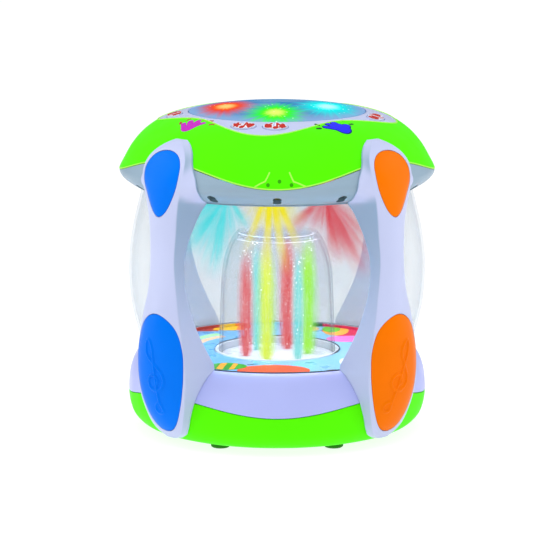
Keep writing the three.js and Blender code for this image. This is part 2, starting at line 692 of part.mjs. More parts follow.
POSTS.forEach(({ where, azimuth, color, mirrored }) => {
  const corner = new THREE.Group();
  corner.rotation.z = THREE.MathUtils.degToRad(azimuth);
  part.add(corner);
  piece(`post_${where}`, post(mirrored), LAVENDER, corner);
  piece(`teardrop_inlay_${where}`, inlay(), color, corner);
  piece(`touch_pad_${where}`, sidePad(), color, corner);
});

export default part;
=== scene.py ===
"""Looks for a toddler's light-up hand drum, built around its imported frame.

Outlines are [radius, height] knots in millimetres, in the frame's own axes: +Z up, front towards -Y.
Every moulded shell is a smooth ring or skin that stands for its faceted CAD node. The pieces are made
section by section: camera and light, materials, top, window, fountain, base, posts, and small parts.
"""

import math
import random

import bpy
import bmesh
import numpy as np
from mathutils import Matrix, Vector


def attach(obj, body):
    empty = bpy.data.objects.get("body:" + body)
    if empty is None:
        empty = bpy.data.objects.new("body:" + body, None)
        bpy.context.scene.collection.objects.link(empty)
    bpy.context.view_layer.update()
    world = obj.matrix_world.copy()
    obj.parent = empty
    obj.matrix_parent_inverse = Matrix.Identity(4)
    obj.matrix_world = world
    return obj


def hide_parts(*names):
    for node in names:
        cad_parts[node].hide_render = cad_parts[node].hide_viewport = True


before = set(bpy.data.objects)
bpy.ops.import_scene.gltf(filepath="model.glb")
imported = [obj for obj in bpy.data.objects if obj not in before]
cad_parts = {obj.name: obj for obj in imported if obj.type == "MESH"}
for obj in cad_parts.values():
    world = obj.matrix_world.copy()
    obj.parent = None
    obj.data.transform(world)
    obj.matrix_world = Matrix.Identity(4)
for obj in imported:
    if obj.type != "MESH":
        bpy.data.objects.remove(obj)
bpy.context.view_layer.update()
random.seed(7)

MM = 0.001
ROUND = 192  # facets round a large shell
DRUM = "drum"

# ---- Driving dimensions, in millimetres ----

COVER_EDGE = (172.6, 6.1)  # mean height and swing of the cover's wavy lower edge
BASE_SPLIT = (29.0, 4.0)  # the same for the joint between the base shells
LOBE_MEAN, LOBE_SWING, LOBE_TURN = 67.5, 7.8, math.radians(-7)
PAD_RADIUS = 55.3
PANEL_HOLE = 56.0
WALL = 2.5
WINDOW_WALL = 1.6
CEILING_UNDERSIDE, CEILING_TOP = 155.2, 157.7
DECK_UNDERSIDE, DECK_TOP = 46.0, 48.5
BASE_UNDERSIDE, BASE_FLOOR_TOP = 3.0, 5.5
HOUSING_RIM = 153.8  # the lowest edge of the housing
SCREW_CIRCLE, WELL_RADIUS = 90.5, 2.65
SCREW_AZIMUTHS = [side + turn for side in (-90, 0, 90, 180) for turn in (-25, 0, 25)]
DIMPLE_CIRCLE, DIMPLE_HEIGHT, DIMPLE_RADIUS = 94.2, 158.2, 3.1
DECK_PRINT = 49.8  # the printed side of the deck disc
POST_FOOT, POST_TOP = 7.0, 191.6
POST_GAP = 0.35  # between a post and the shells that it saddles
GAP = 0.4  # between parts that fit into each other
JET_CIRCLE, JET_FIRST = 20.0, 191  # radius, and azimuth of the first jet
NOZZLE_TOP = 46  # the fountain's plate, where the jets start


# ---- Outlines ----

class Outline:
    """A smooth path through [radius, height] knots, sampled finely so that it can be looked up."""

    def __init__(self, knots, samples=1200):
        knots = np.array(knots, float)
        last = len(knots) - 1
        t = np.linspace(0, last, samples)
        i = np.minimum(t.astype(int), last - 1)
        w = (t - i)[:, None]
        before = knots[np.maximum(i - 1, 0)]
        after = knots[np.minimum(i + 2, last)]
        start, end = knots[i], knots[i + 1]
        v0, v1 = (end - before) / 2, (after - start) / 2
        self.points = (
            (2 * start - 2 * end + v0 + v1) * w**3 + (-3 * start + 3 * end - 2 * v0 - v1) * w**2
            + v0 * w + start
        )
        steps = np.hypot(*np.diff(self.points, axis=0).T)
        self.length = np.concatenate([[0], np.cumsum(steps)])

    def where(self, column, value):
        """The distance along the path where one coordinate first crosses a value."""
        values = self.points[:, column]
        rising = values[-1] > values[0] if column == 1 else True
        crossed = values >= value if rising else values <= value
        index = int(np.argmax(crossed)) if crossed.any() else len(values) - 1
        if index == 0:
            return self.length[0]
        a, b = values[index - 1], values[index]
        share = 0 if a == b else (value - a) / (b - a)
        return self.length[index - 1] + share * (self.length[index] - self.length[index - 1])

    def at(self, lengths):
        return np.stack([np.interp(lengths, self.length, self.points[:, k]) for k in (0, 1)], axis=1)

    def part(self, start, end, steps, depth=0.0):
        """Points evenly along part of the path, moved by depth to the right of its direction."""
        lengths = np.linspace(start, end, steps + 1)
        along = self.at(lengths + 0.2) - self.at(lengths - 0.2)
        along /= np.hypot(*along.T)[:, None]
        return self.at(lengths) + depth * np.stack([along[:, 1], -along[:, 0]], axis=1)

    @property
    def end(self):
        return self.length[-1]


TOP = Outline([
    (0, 206.5), (30, 205.1), (50, 203), (65, 199.9), (75, 196), (84, 189.6), (91, 181.6), (96, 173),
    (99, 166.6), (97.3, 162.4), (92.6, 158.6), (88.4, 156.2), (85.4, CEILING_UNDERSIDE),
])
BASE = Outline([
    (84.6, 51.2), (87.9, 49.6), (91, 44.6), (93.2, 37), (94, 28), (93.7, 20.5), (91.7, 13), (88.4, 8.3),
    (84, 5), (78, BASE_UNDERSIDE),
])
WINDOW = Outline([
    (82.6, 48.9), (83.6, 52.6), (87.7, 63), (92, 81), (93.6, 99), (93.1, 115), (90.7, 131), (87.4, 145),
    (84.9, 154.8),
])


CROWN = TOP.points[: int(np.argmax(TOP.points[:, 0])) + 1]  # from the middle out to the widest point


def dome_height(radius):
    """Height of the top's crown at a radius inside its widest point."""
    return np.interp(radius, CROWN[:, 0], CROWN[:, 1])


def window_radius(z):
    return np.interp(z, WINDOW.points[:, 1], WINDOW.points[:, 0])


def smooth_table(*knots):
    """A smooth function through (x, y) knots, flat beyond the ends."""
    x, y = np.array(knots, float).T
    slope = np.gradient(y, x)
    slope[0], slope[-1] = (y[1] - y[0]) / (x[1] - x[0]), (y[-1] - y[-2]) / (x[-1] - x[-2])

    def value(at):
        at = np.clip(np.asarray(at, float), x[0], x[-1])
        i = np.clip(np.searchsorted(x, at, side="right") - 1, 0, len(x) - 2)
        width = x[i + 1] - x[i]
        t = (at - x[i]) / width
        u = 1 - t
        ends = y[i] * u * u * (1 + 2 * t) + y[i + 1] * t * t * (1 + 2 * u)
        return ends + width * t * u * (slope[i] * u - slope[i + 1] * t)

    return value


def wave(edge, angle):
    mean, swing = edge
    return mean - swing * math.cos(4 * angle)


def lobe_radius(angle):
    return LOBE_MEAN + LOBE_SWING * math.cos(4 * (angle - LOBE_TURN))


def polar(radius, degrees):
    angle = math.radians(degrees)
    return radius * math.cos(angle), radius * math.sin(angle)


def rounded(points, radius, corners, steps=4):
    """An outline with an arc in place of each corner whose index is listed."""
    points = np.array(points, float)
    result = []
    for i, corner in enumerate(points):
        if i not in corners:
            result.append(corner)
            continue
        to_last = points[i - 1] - corner
        to_next = points[(i + 1) % len(points)] - corner
        lengths = np.hypot(*to_last), np.hypot(*to_next)
        reach = min(radius, 0.45 * lengths[0], 0.45 * lengths[1])
        first, last = corner + to_last / lengths[0] * reach, corner + to_next / lengths[1] * reach
        for k in range(steps + 1):
            t = k / steps
            result.append(first * (1 - t) ** 2 + 2 * corner * t * (1 - t) + last * t**2)
    return np.array(result)


# ---- Meshes ----

def solid_object(name, vertices, faces, merge=False):
    """An object from vertices in millimetres, with its faces turned outwards."""
    mesh = bpy.data.meshes.new(name)
    mesh.from_pydata((np.asarray(vertices, float) * MM).tolist(), [], faces)
    made = bpy.data.objects.new(name, mesh)
    bpy.context.collection.objects.link(made)
    work = bmesh.new()
    work.from_mesh(mesh)
    if merge:
        bmesh.ops.remove_doubles(work, verts=work.verts, dist=1e-7)
    bmesh.ops.recalc_face_normals(work, faces=work.faces)
    work.to_mesh(mesh)
    work.free()
    return made


def smooth_but(mesh, sharp):
    """Smooth shading, but for edges that turn by more than an angle in degrees."""
    mesh.shade_smooth()
    mesh.set_sharp_from_angle(angle=math.radians(sharp))


def stand_in(made, node):
    """Hides the CAD node that a piece is seen in place of, if there is one."""
    if node:
        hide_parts(node)
    return made


def piece(name, vertices, faces, material, slot, node=None, body=DRUM, sharp=32, merge=False):
    """A named piece, smooth but for its sharp edges, riding on a body."""
    made = solid_object(name, vertices, faces, merge)
    smooth_but(made.data, sharp)
    made.data.materials.append(material)
    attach(made, body)
    return stand_in(made, node)


def grid_faces(rows, columns, wrap_rows=False, wrap_columns=False, first=0):
    faces = []
    for i in range(rows if wrap_rows else rows - 1):
        for k in range(columns if wrap_columns else columns - 1):
            a, b = first + i * columns + k, first + ((i + 1) % rows) * columns + k
            step = (k + 1) % columns - k
            faces.append((a, b, b + step, a + step))
    return faces


def ring_grid(outline_at, segments):
    rows = []
    for i in range(segments):
        angle = 2 * math.pi * i / segments
        profile = np.array(outline_at(angle))
        flat = profile[:, :1] * np.array([[math.cos(angle), math.sin(angle)]])
        rows.append(np.hstack([flat, profile[:, 1:]]))
    return np.array(rows)


def ring(name, outline_at, material, slot, node=None, body=DRUM, segments=ROUND, closed=True):
    """A shell round +Z. Its outline is closed, or starts and ends on the axis."""
    rows = ring_grid(outline_at, segments)
    faces = grid_faces(segments, rows.shape[1], wrap_rows=True, wrap_columns=closed)
    return piece(name, rows.reshape(-1, 3), faces, material, slot, node, body, merge=not closed)


def turned(name, profile, material, slot, node, round_by, at=(0, 0), segments=48, closed=False):
    """A lathe piece about a vertical line, with its corners rounded."""
    profile = np.array(profile, float)
    profile = rounded(profile, round_by, [k for k, (radius, _) in enumerate(profile) if radius > 0])
    made = ring(name, lambda angle: profile, material, slot, node, segments=segments, closed=closed)
    made.data.transform(Matrix.Translation((at[0] * MM, at[1] * MM, 0)))


def extruded(points, depth_low, depth_high):
    """Vertices and faces of an upright prism over a closed (x, y) outline."""
    count = len(points)
    low = [(x, y, depth_low) for x, y in points]
    high = [(x, y, depth_high) for x, y in points]
    faces = [tuple(reversed(range(count))), tuple(range(count, 2 * count))]
    faces += [(k, (k + 1) % count, (k + 1) % count + count, k + count) for k in range(count)]
    return low + high, faces


def tube_faces(rows, sides):
    """The faces over a stack of closed rows, with both ends capped."""
    last = (rows - 1) * sides
    caps = [tuple(range(sides)), tuple(reversed(range(last, last + sides)))]
    return grid_faces(rows, sides, wrap_columns=True) + caps


SQUARE = ((-1, -1), (1, -1), (1, 1), (-1, 1))


def cutter(vertices, faces):
    return solid_object("cutter", vertices, faces)


def circle(radius, x, y, sides):
    turns = [2 * math.pi * k / sides for k in range(sides)]
    return [(x + radius * math.cos(a), y + radius * math.sin(a)) for a in turns]


def round_cutter(radius, x, y, low, high):
    return cutter(*extruded(circle(radius, x, y, 32), low, high))


def ball_cutter(radius, x, y, z, sides=24, bands=12):
    slants = [math.pi * i / bands for i in range(1, bands)]
    vertices = [
        (*point, z + radius * math.cos(slant))
        for slant in slants for point in circle(radius * math.sin(slant), x, y, sides)
    ]
    return cutter(vertices, tube_faces(len(slants), sides))


def box_cutter(width, depth, x, y, low, high):
    return cutter(*extruded([(x + i * width / 2, y + k * depth / 2) for i, k in SQUARE], low, high))


def cut(target, cutters, joins=(), sharp=32):
    """Adds the joins to a piece, takes the cutters out of it, and deletes them all."""
    changes = [(solid, "UNION") for solid in joins] + [(solid, "DIFFERENCE") for solid in cutters]
    for solid, operation in changes:
        change = target.modifiers.new("cut", "BOOLEAN")
        change.operation = operation
        change.solver = "EXACT"
        change.material_mode = "TRANSFER" if solid.data.materials else "INDEX"
        change.object = solid
    seen = target.evaluated_get(bpy.context.evaluated_depsgraph_get())
    mesh = bpy.data.meshes.new_from_object(seen)
    smooth_but(mesh, sharp)
    target.modifiers.clear()
    target.data = mesh
    for solid, _ in changes:
        bpy.data.objects.remove(solid)
    return target


def tube_mesh(path, radius_at, sides=8):
    """Vertices and faces of a closed tube along a list of 3-D points, in millimetres."""
    path = [Vector(p) for p in path]
    vertices = []
    side = Vector((0.31, 0.17, 0.93)).normalized()
    for i, point in enumerate(path):
        along = (path[min(i + 1, len(path) - 1)] - path[max(i - 1, 0)]).normalized()
        across = along.cross(side).normalized()
        other = side = across.cross(along).normalized()
        reach = radius_at(i / (len(path) - 1))
        for k in range(sides):
            turn = 2 * math.pi * k / sides
            vertices.append(tuple(point + reach * (math.cos(turn) * across + math.sin(turn) * other)))
    return vertices, tube_faces(len(path), sides)


def joined(parts):
    """Several (vertices, faces) lists as one."""
    vertices, faces = [], []
    for more_vertices, more_faces in parts:
        first = len(vertices)
        vertices += list(more_vertices)
        faces += [tuple(first + k for k in face) for face in more_faces]
    return vertices, faces


def decal(name, inside, extent, step, place, material, slot, lift, thickness=0.25, body=DRUM):
    """A thin printed shape, sampled over an extent of u and v.

    inside(u, v) is negative within the shape, and place(u, v, lift) puts it on a surface.
    """
    (u0, u1), (v0, v1) = extent
    u = np.arange(u0, u1 + step, step)
    v = np.arange(v0, v1 + step, step)
    grid_u, grid_v = np.meshgrid(u, v, indexing="ij")
    field = inside(grid_u, grid_v)
    vertices, index, faces = [], {}, []

    def vertex(key, point):
        if key not in index:
            index[key] = len(vertices)
            vertices.append(point)
        return index[key]

    corners = ((0, 0), (1, 0), (1, 1), (0, 1))
    cells = np.argwhere(
        np.minimum.reduce([field[:-1, :-1], field[1:, :-1], field[1:, 1:], field[:-1, 1:]]) < 0
    )
    for i, k in cells.tolist():
        loop = []
        for c in range(4):
            a = (i + corners[c][0], k + corners[c][1])
            b = (i + corners[(c + 1) % 4][0], k + corners[(c + 1) % 4][1])
            fa, fb = field[a], field[b]
            if fa < 0:
                loop.append(vertex(a, (u[a[0]], v[a[1]])))
            if (fa < 0) != (fb < 0):
                t = fa / (fa - fb)
                point = (u[a[0]] * (1 - t) + u[b[0]] * t, v[a[1]] * (1 - t) + v[b[1]] * t)
                loop.append(vertex((min(a, b), max(a, b)), point))
        if len(loop) > 2:
            faces.append(tuple(loop))
    flat = np.array(vertices)
    made = piece(name, place(flat[:, 0], flat[:, 1], lift), faces, material, slot, body=body, sharp=60)
    if np.mean([face.normal.z for face in made.data.polygons]) < 0:
        made.data.flip_normals()
    skin = made.modifiers.new("print", "SOLIDIFY")
    skin.thickness = thickness * MM
    skin.offset = -1


# Signed distances, negative inside. union and overlap combine them, and overlap(a, -b) cuts b out of a.

def disc_shape(u, v, x, y, radius, wide=1.0):
    return np.hypot((u - x) / wide, v - y) - radius


def capsule(u, v, start, end, radius):
    (x0, y0), (x1, y1) = start, end
    run = (x1 - x0, y1 - y0)
    t = ((u - x0) * run[0] + (v - y0) * run[1]) / max(run[0] ** 2 + run[1] ** 2, 1e-9)
    t = np.clip(t, 0, 1)
    return np.hypot(u - x0 - t * run[0], v - y0 - t * run[1]) - radius


def strokes(*lines):
    """A shape made of round-ended lines, each (start, end, radius)."""
    return lambda u, v: union(*(capsule(u, v, *line) for line in lines))


def flower_shape(u, v, x, y, radius, petals, depth, turn=0.0):
    angle = np.arctan2(v - y, u - x) + turn
    return np.hypot(u - x, v - y) - radius * (1 + depth * np.cos(petals * angle))


def union(*shapes):
    return np.minimum.reduce(shapes)


def overlap(*shapes):
    return np.maximum.reduce(shapes)


def bar(u, v, x, y, half_wide, half_tall):
    return overlap(np.abs(u - x) - half_wide, np.abs(v - y) - half_tall)


def smooth_path(points, per_span=8):
    """Catmull-Rom points through a short list."""
    points = np.array(points, float)
    padded = np.vstack([2 * points[0] - points[1], points, 2 * points[-1] - points[-2]])
    result = []
    for i in range(1, len(padded) - 2):
        a, b, c, d = padded[i - 1 : i + 3]
        for k in range(per_span):
            t = k / per_span
            result.append(0.5 * (
                2 * b + (c - a) * t + (2 * a - 5 * b + 4 * c - d) * t**2 + (3 * b - a - 3 * c + d) * t**3
            ))
    result.append(points[-1])
    return np.array(result)


# ---- Camera, floor and light ----

LOOK_AT = Vector((-1.3, 0, 97.3)) * MM
DISTANCE, PITCH = 2.0, math.radians(10)
FOCAL_IN_FRAMES = 5.745  # focal length over the frame's width


def add_camera():
    data = bpy.data.cameras.new("camera")
    data.sensor_width = 36
    data.lens = 36 * FOCAL_IN_FRAMES
    camera = bpy.data.objects.new("camera", data)
    camera.location = LOOK_AT + DISTANCE * Vector((0, -math.cos(PITCH), math.sin(PITCH)))
    camera.rotation_euler = (math.pi / 2 - PITCH, 0, 0)
    bpy.context.collection.objects.link(camera)
    bpy.context.scene.camera = camera


def add_light(kind, name, place, power, aim=None, **settings):
    """A light at a place in metres. One without an aim is inside the window, unseen by the camera."""
    data = bpy.data.lights.new(name, kind)
    data.energy = power
    for key, value in settings.items():
        setattr(data, key, value)
    light = bpy.data.objects.new(name, data)
    light.location = place
    if aim:
        light.rotation_euler = (Vector(aim) - Vector(place)).to_track_quat("-Z", "Y").to_euler()
    light.visible_camera = bool(aim)
    bpy.context.collection.objects.link(light)


add_camera()
scene = bpy.context.scene
scene.view_settings.view_transform = "Standard"
scene.cycles.transparent_max_bounces = 128
WORLD_LOW, WORLD_HIGH = 0.30, 0.66  # brightness near the horizon and overhead


def studio_world():
    """A soft grey room: dim near the horizon, brighter overhead."""
    world = bpy.data.worlds.new("studio")
    scene.world = world
    world.use_nodes = True
    nodes, links = world.node_tree.nodes, world.node_tree.links
    direction = nodes.new("ShaderNodeTexCoord").outputs["Generated"]
    split = nodes.new("ShaderNodeSeparateXYZ")
    links.new(direction, split.inputs[0])
    climb = nodes.new("ShaderNodeMapRange")
    climb.interpolation_type = "SMOOTHSTEP"
    for key, value in {1: 0.05, 2: 0.7, 3: WORLD_LOW, 4: WORLD_HIGH}.items():
        climb.inputs[key].default_value = value
    links.new(split.outputs[2], climb.inputs[0])
    links.new(climb.outputs[0], nodes["Background"].inputs["Strength"])
    nodes["Background"].inputs["Color"].default_value = (0.94, 0.97, 1.0, 1)


studio_world()
for side, place, size, power in (
    ("top", (0.0, -0.5, 1.5), (1.4, 1.4), 8), ("left", (-1.5, 0.15, 0.7), (1.2, 1.4), 8),
    ("right", (1.5, 0.15, 0.7), (1.2, 1.4), 7), ("front", (-0.2, -2.2, 0.9), (1.2, 0.9), 5),
):
    box = {"shape": "RECTANGLE", "size": size[0], "size_y": size[1]}
    add_light("AREA", f"softbox_{side}", place, power, (0, 0, 0.1), **box)
add_light("AREA", "ceiling", (0, 0, 0.151), 0.2, shape="DISK", size=0.13, spread=math.radians(140))
for side, x, power, color in (
    ("cyan", -0.04, 0.05, (0.05, 0.85, 0.95)), ("red", 0.04, 0.03, (1.0, 0.15, 0.2)),
):
    add_light("POINT", f"{side}_lamp", (x, -0.034, 0.144), power, shadow_soft_size=0.005, color=color)


# ---- Materials ----

def srgb(code):
    """A linear colour from a six-digit hex code."""
    values = [int(code[i : i + 2], 16) / 255 for i in (0, 2, 4)]
    return tuple(v / 12.92 if v <= 0.04045 else ((v + 0.055) / 1.055) ** 2.4 for v in values)


class Shader:
    """Builds one material's nodes. An input is given as a number, a colour or another node's output."""

    def __init__(self, name):
        self.material = bpy.data.materials.new(name)
        self.material.use_nodes = True
        self.tree = self.material.node_tree
        self.tree.nodes.clear()
        self.output = self.tree.nodes.new("ShaderNodeOutputMaterial")
        self.place = self.node("TexCoord").outputs["Object"]

    def node(self, kind, inputs=None, **settings):
        made = self.tree.nodes.new("ShaderNode" + kind)
        for key, value in settings.items():
            setattr(made, key, value)
        for key, value in (inputs or {}).items():
            if isinstance(value, bpy.types.NodeSocket):
                self.tree.links.new(value, made.inputs[key])
            elif isinstance(value, tuple) and len(value) == 3 and made.inputs[key].type == "RGBA":
                made.inputs[key].default_value = (*value, 1)
            else:
                made.inputs[key].default_value = value
        return made

    def math(self, operation, a, b=0.0, clamp=False):
        return self.node("Math", {0: a, 1: b}, operation=operation, use_clamp=clamp).outputs[0]

    def times(self, a, b, clamp=False):
        return self.math("MULTIPLY", a, b, clamp)

    def plus(self, a, b, clamp=False):
        return self.math("ADD", a, b, clamp)

    def minus(self, a, b):
        return self.math("SUBTRACT", a, b)

    def reach(self, a, b):
        """The length of the flat vector (a, b)."""
        return self.math("POWER", self.plus(self.times(a, a), self.times(b, b)), 0.5)

    def parts(self, vector=None):
        """The x, y and z of a vector, or of the place on the object."""
        return tuple(self.node("SeparateXYZ", {0: vector or self.place}).outputs)

    def vector(self, x, y, z):
        return self.node("CombineXYZ", {0: x, 1: y, 2: z}).outputs[0]

    def bump(self, height, strength, distance):
        return self.node("Bump", {"Height": height, "Strength": strength, "Distance": distance}).outputs[0]

    def voronoi(self, scale):
        return self.node("TexVoronoi", {"Vector": self.place, "Scale": scale}).outputs["Distance"]

    def noise(self, scale, detail, place=None, roughness=0.5):
        inputs = {"Vector": place or self.place, "Scale": scale, "Detail": detail, "Roughness": roughness}
        return self.node("TexNoise", inputs).outputs[0]

    def ramp(self, value, low, high, to_low=0.0, to_high=1.0):
        """A smooth step from one value to another."""
        keys = {0: value, 1: low, 2: high, 3: to_low, 4: to_high}
        return self.node("MapRange", keys, interpolation_type="SMOOTHSTEP").outputs[0]

    def mix(self, share, a, b):
        return self.node("Mix", {0: share, 6: a, 7: b}, data_type="RGBA").outputs[2]

    def finish(self, surface):
        self.tree.links.new(surface.outputs[0], self.output.inputs["Surface"])
        return self.material

    def finish_solid(self, color, roughness, **inputs):
        """Ends the material as a solid surface. An input's name has _ for each space."""
        inputs = {key.replace("_", " "): value for key, value in inputs.items()}
        inputs.update({"Base Color": color, "Roughness": roughness})
        return self.finish(self.node("BsdfPrincipled", inputs))

    def finish_clear(self, share, surface, tint=(1.0, 1.0, 1.0)):
        """Ends the material as a share of a surface, with tinted clearness for the rest."""
        through = self.node("BsdfTransparent", {"Color": tint})
        return self.finish(self.node("MixShader", {0: share, 1: through.outputs[0], 2: surface.outputs[0]}))

    def finish_light(self, share, color, strength):
        """Ends the material as see-through light."""
        return self.finish_clear(share, self.node("Emission", {"Color": color, "Strength": strength}))


def scaled_color(color, share, lift=0.0):
    return tuple(c * share + lift for c in color)


def moulded(name, code, rough, grain=1400, mottle=0.035, gloss_level=0.25, shade=None):
    """Moulded toy plastic: fine mould texture, faint flow marks, uneven gloss and a few pale scuffs."""
    s = Shader(name)
    color = srgb(code)
    tint = s.mix(s.ramp(s.noise(18, 3), 0.3, 0.7), color, scaled_color(color, 1 - 2.2 * mottle))
    scuffs = s.ramp(s.noise(260, 5, roughness=0.7), 0.70, 0.78, 0.0, 0.12)
    tint = s.mix(scuffs, tint, scaled_color(color, 0.95, 0.03))
    # A shade hook paints shade into the tint.
    if shade:
        tint = shade(s, tint)
    gloss = s.ramp(s.noise(70, 3), 0.3, 0.7, rough - 0.05, rough + 0.07)
    texture = s.plus(s.noise(grain, 2), s.times(s.noise(120, 2), 1.5))
    return s.finish_solid(
        tint, gloss, Normal=s.bump(texture, 0.05, 0.0004), IOR=1.46, Specular_IOR_Level=gloss_level,
    )


def painted_flank_shade(s, tint):
    """Painted shade: a post's flanks are made darker and bluer than its face, most of all near the top, for
    the shade that falls on them under the cover.
    """
    x, y, z = s.parts()
    normal_x, normal_y, _ = s.parts(s.node("TexCoord").outputs["Normal"])
    across = s.minus(s.times(normal_x, y), s.times(normal_y, x))
    flank = s.ramp(s.math("ABSOLUTE", s.math("DIVIDE", across, s.reach(x, y))), 0.3, 0.85)
    return s.mix(s.times(flank, s.ramp(z, 0.05, 0.17, 0.2, 0.8)), tint, srgb("80a2bc"))


def printed(name, code):
    """Flat print ink with a faint grain."""
    s = Shader(name)
    color = srgb(code)
    tint = s.mix(s.ramp(s.noise(2600, 2), 0.35, 0.65), color, scaled_color(color, 0.95))
    return s.finish_solid(tint, 0.5, Normal=s.bump(s.noise(1800, 2), 0.04, 0.0002), Specular_IOR_Level=0.15)


def clear(name, code, tint, edge, edge_power, veil=0.0):
    """Thin clear plastic: see-through face on, greyer and glossier where it turns away, with fine smears."""
    s = Shader(name)
    facing = s.node("LayerWeight", {"Blend": 0.5}).outputs["Facing"]
    turning = s.times(s.math("POWER", facing, edge_power), edge)
    share = s.plus(turning, s.ramp(s.noise(24, 4), 0.35, 0.75, 0.012, 0.03), clamp=True)
    if veil:  # frosted towards the back
        share = s.plus(share, s.ramp(s.parts()[1], 0.03, 0.07, 0.0, veil), clamp=True)
    bump = s.bump(s.noise(45, 2), 0.05, 0.001)
    gloss = s.ramp(s.noise(90, 3), 0.3, 0.7, 0.05, 0.11)
    skin = s.node("BsdfPrincipled", {"Base Color": srgb(code), "Roughness": gloss, "Normal": bump})
    return s.finish_clear(share, skin, tint)


def steel():
    s = Shader("screw_steel")
    color, grain = srgb("b9bdc2"), s.noise(900, 4)
    tint = s.mix(s.ramp(grain, 0.3, 0.7), color, scaled_color(color, 0.7))
    return s.finish_solid(tint, s.ramp(grain, 0.3, 0.7, 0.24, 0.42), Metallic=1.0)


def circuit_board():
    s = Shader("circuit_board")
    tracks = s.node("TexBrick", {"Vector": s.place, "Scale": 260.0, "Mortar Size": 0.04}).outputs["Fac"]
    tint = s.mix(tracks, srgb("1d6b3c"), srgb("3f9a5c"))
    pads = s.voronoi(300.0)
    tint = s.mix(s.ramp(pads, 0.16, 0.12), tint, srgb("c8b26a"))
    return s.finish_solid(tint, s.ramp(pads, 0.1, 0.3, 0.25, 0.5))


def glow(name, code, strength, see_through=0.0, sparkle=0.0, fade=None):
    """A lit, partly see-through surface. It dies away between the two heights of fade, in metres."""
    s = Shader(name)
    color = srgb(code)
    lively = s.mix(s.ramp(s.noise(420, 3), 0.35, 0.7), color, tuple(min(1, c * 0.75 + 0.3) for c in color))
    share = 1 - see_through
    if sparkle:
        share = s.ramp(s.noise(800, 2), 0.4, 0.62, share, min(1.0, share + sparkle))
    if fade:
        share = s.times(share, s.ramp(s.parts()[2], *fade, 1.0, 0.0))
    return s.finish_light(share, lively, strength)


PAD_LAMPS = (  # place, core and halo colours, reach of the halo, and how far its rays stand out
    ((-32, -4), "ffcc78", "f04200", 16.5, 0.22),
    ((-1, -33.5), "e4ff70", "34f808", 15.5, 0.4),
    ((31.5, -5), "b4ffff", "0ceae8", 17.5, 0.3),
)


def lit_pad():
    """Translucent blue plastic over three lamps, each a bright core in a halo with thin rays."""
    s = Shader("lit_pad")
    x, y, _ = s.parts()
    body = s.mix(s.ramp(s.noise(38, 4), 0.35, 0.7), srgb("3f86c0"), srgb("6f9fc4"))
    body = s.mix(s.ramp(s.reach(x, y), 0.040, 0.055), body, srgb("86abd8"))
    light = (0.0, 0.0, 0.0)
    for (lamp_x, lamp_y), core, halo, size, spokiness in PAD_LAMPS:
        dx = s.minus(x, lamp_x * MM)
        dy = s.times(s.minus(y, lamp_y * MM), 0.55)
        spokes = s.vector(s.times(s.math("ARCTAN2", dy, dx), 2.4), lamp_x * 0.37, 0.0)
        streak = s.ramp(s.noise(3.4, 2, place=spokes, roughness=0.6), 0.35, 0.7)
        away = s.math("DIVIDE", s.reach(dx, dy), s.plus(1.0, s.times(streak, spokiness)))
        wide = s.ramp(away, size * 1.2 * MM, size * 0.35 * MM)
        near = s.ramp(away, size * 0.52 * MM, size * 0.08 * MM)
        body = s.mix(wide, body, scaled_color(srgb(halo), 0.4))
        power = s.times(wide, s.plus(0.62, s.times(near, 0.7)))
        light = s.mix(power, light, s.mix(near, srgb(halo), srgb(core)))
    red, green, blue = s.node("SeparateColor", {0: light}).outputs
    bright = s.math("MAXIMUM", red, s.math("MAXIMUM", green, blue))
    specks = s.times(s.ramp(s.voronoi(210.0), 0.16, 0.05), s.ramp(bright, 0.08, 0.4, 0.0, 0.8))
    light = s.mix(specks, light, (1.0, 0.98, 0.9))
    return s.finish_solid(
        body, 0.22, Normal=s.bump(s.noise(500, 2), 0.06, 0.0003), Specular_IOR_Level=0.0,
        Emission_Color=light, Emission_Strength=1.1,
    )


GREEN = moulded("green_plastic", "5aff00", rough=0.45, mottle=0.02, gloss_level=0.05)
# Pale green on the cover's own green plastic: painted highlight on edges and raised ridges.
GREEN_PAINTED_HIGHLIGHT = moulded("pale_green_plastic", "b4ff5a", rough=0.4, gloss_level=0.1)
# Dark green on the cover's own green plastic: painted shade in the lip's dimples.
DIMPLE_PAINTED_SHADE = moulded("dimple_green_plastic", "37a800", rough=0.5, gloss_level=0.1)
LAVENDER = moulded("lavender_plastic", "c8cff1", rough=0.34, mottle=0.02)
# The posts' lavender, with painted shade on their flanks.
POST_LAVENDER_PAINTED_SHADE = moulded("post_plastic", "c8cff1", rough=0.34, mottle=0.02, shade=painted_flank_shade)
# A darker copy of the lavender: painted shade for the lower ring, which gets less light.
BASE_LAVENDER_PAINTED_SHADE = moulded("base_lavender_plastic", "b6bef8", rough=0.34, mottle=0.02)
HOUSING = moulded("housing_plastic", "98b0c2", rough=0.38, mottle=0.03)
# Dark grey painted shade for the inside of the housing's screw wells and dimples.
RECESS_PAINTED_SHADE = moulded("recess_plastic", "4f6872", rough=0.6)
BLUE = moulded("blue_plastic", "007afa", rough=0.34, gloss_level=0.05)
ORANGE = moulded("orange_plastic", "ff7a00", rough=0.34, gloss_level=0.05)
WHITE = moulded("white_plastic", "dfe4f0", rough=0.3)
BLACK = moulded("black_plastic", "1b1c20", rough=0.5)
FOOT_RUBBER = moulded("foot_rubber", "2c7a10", rough=0.7, grain=2200)
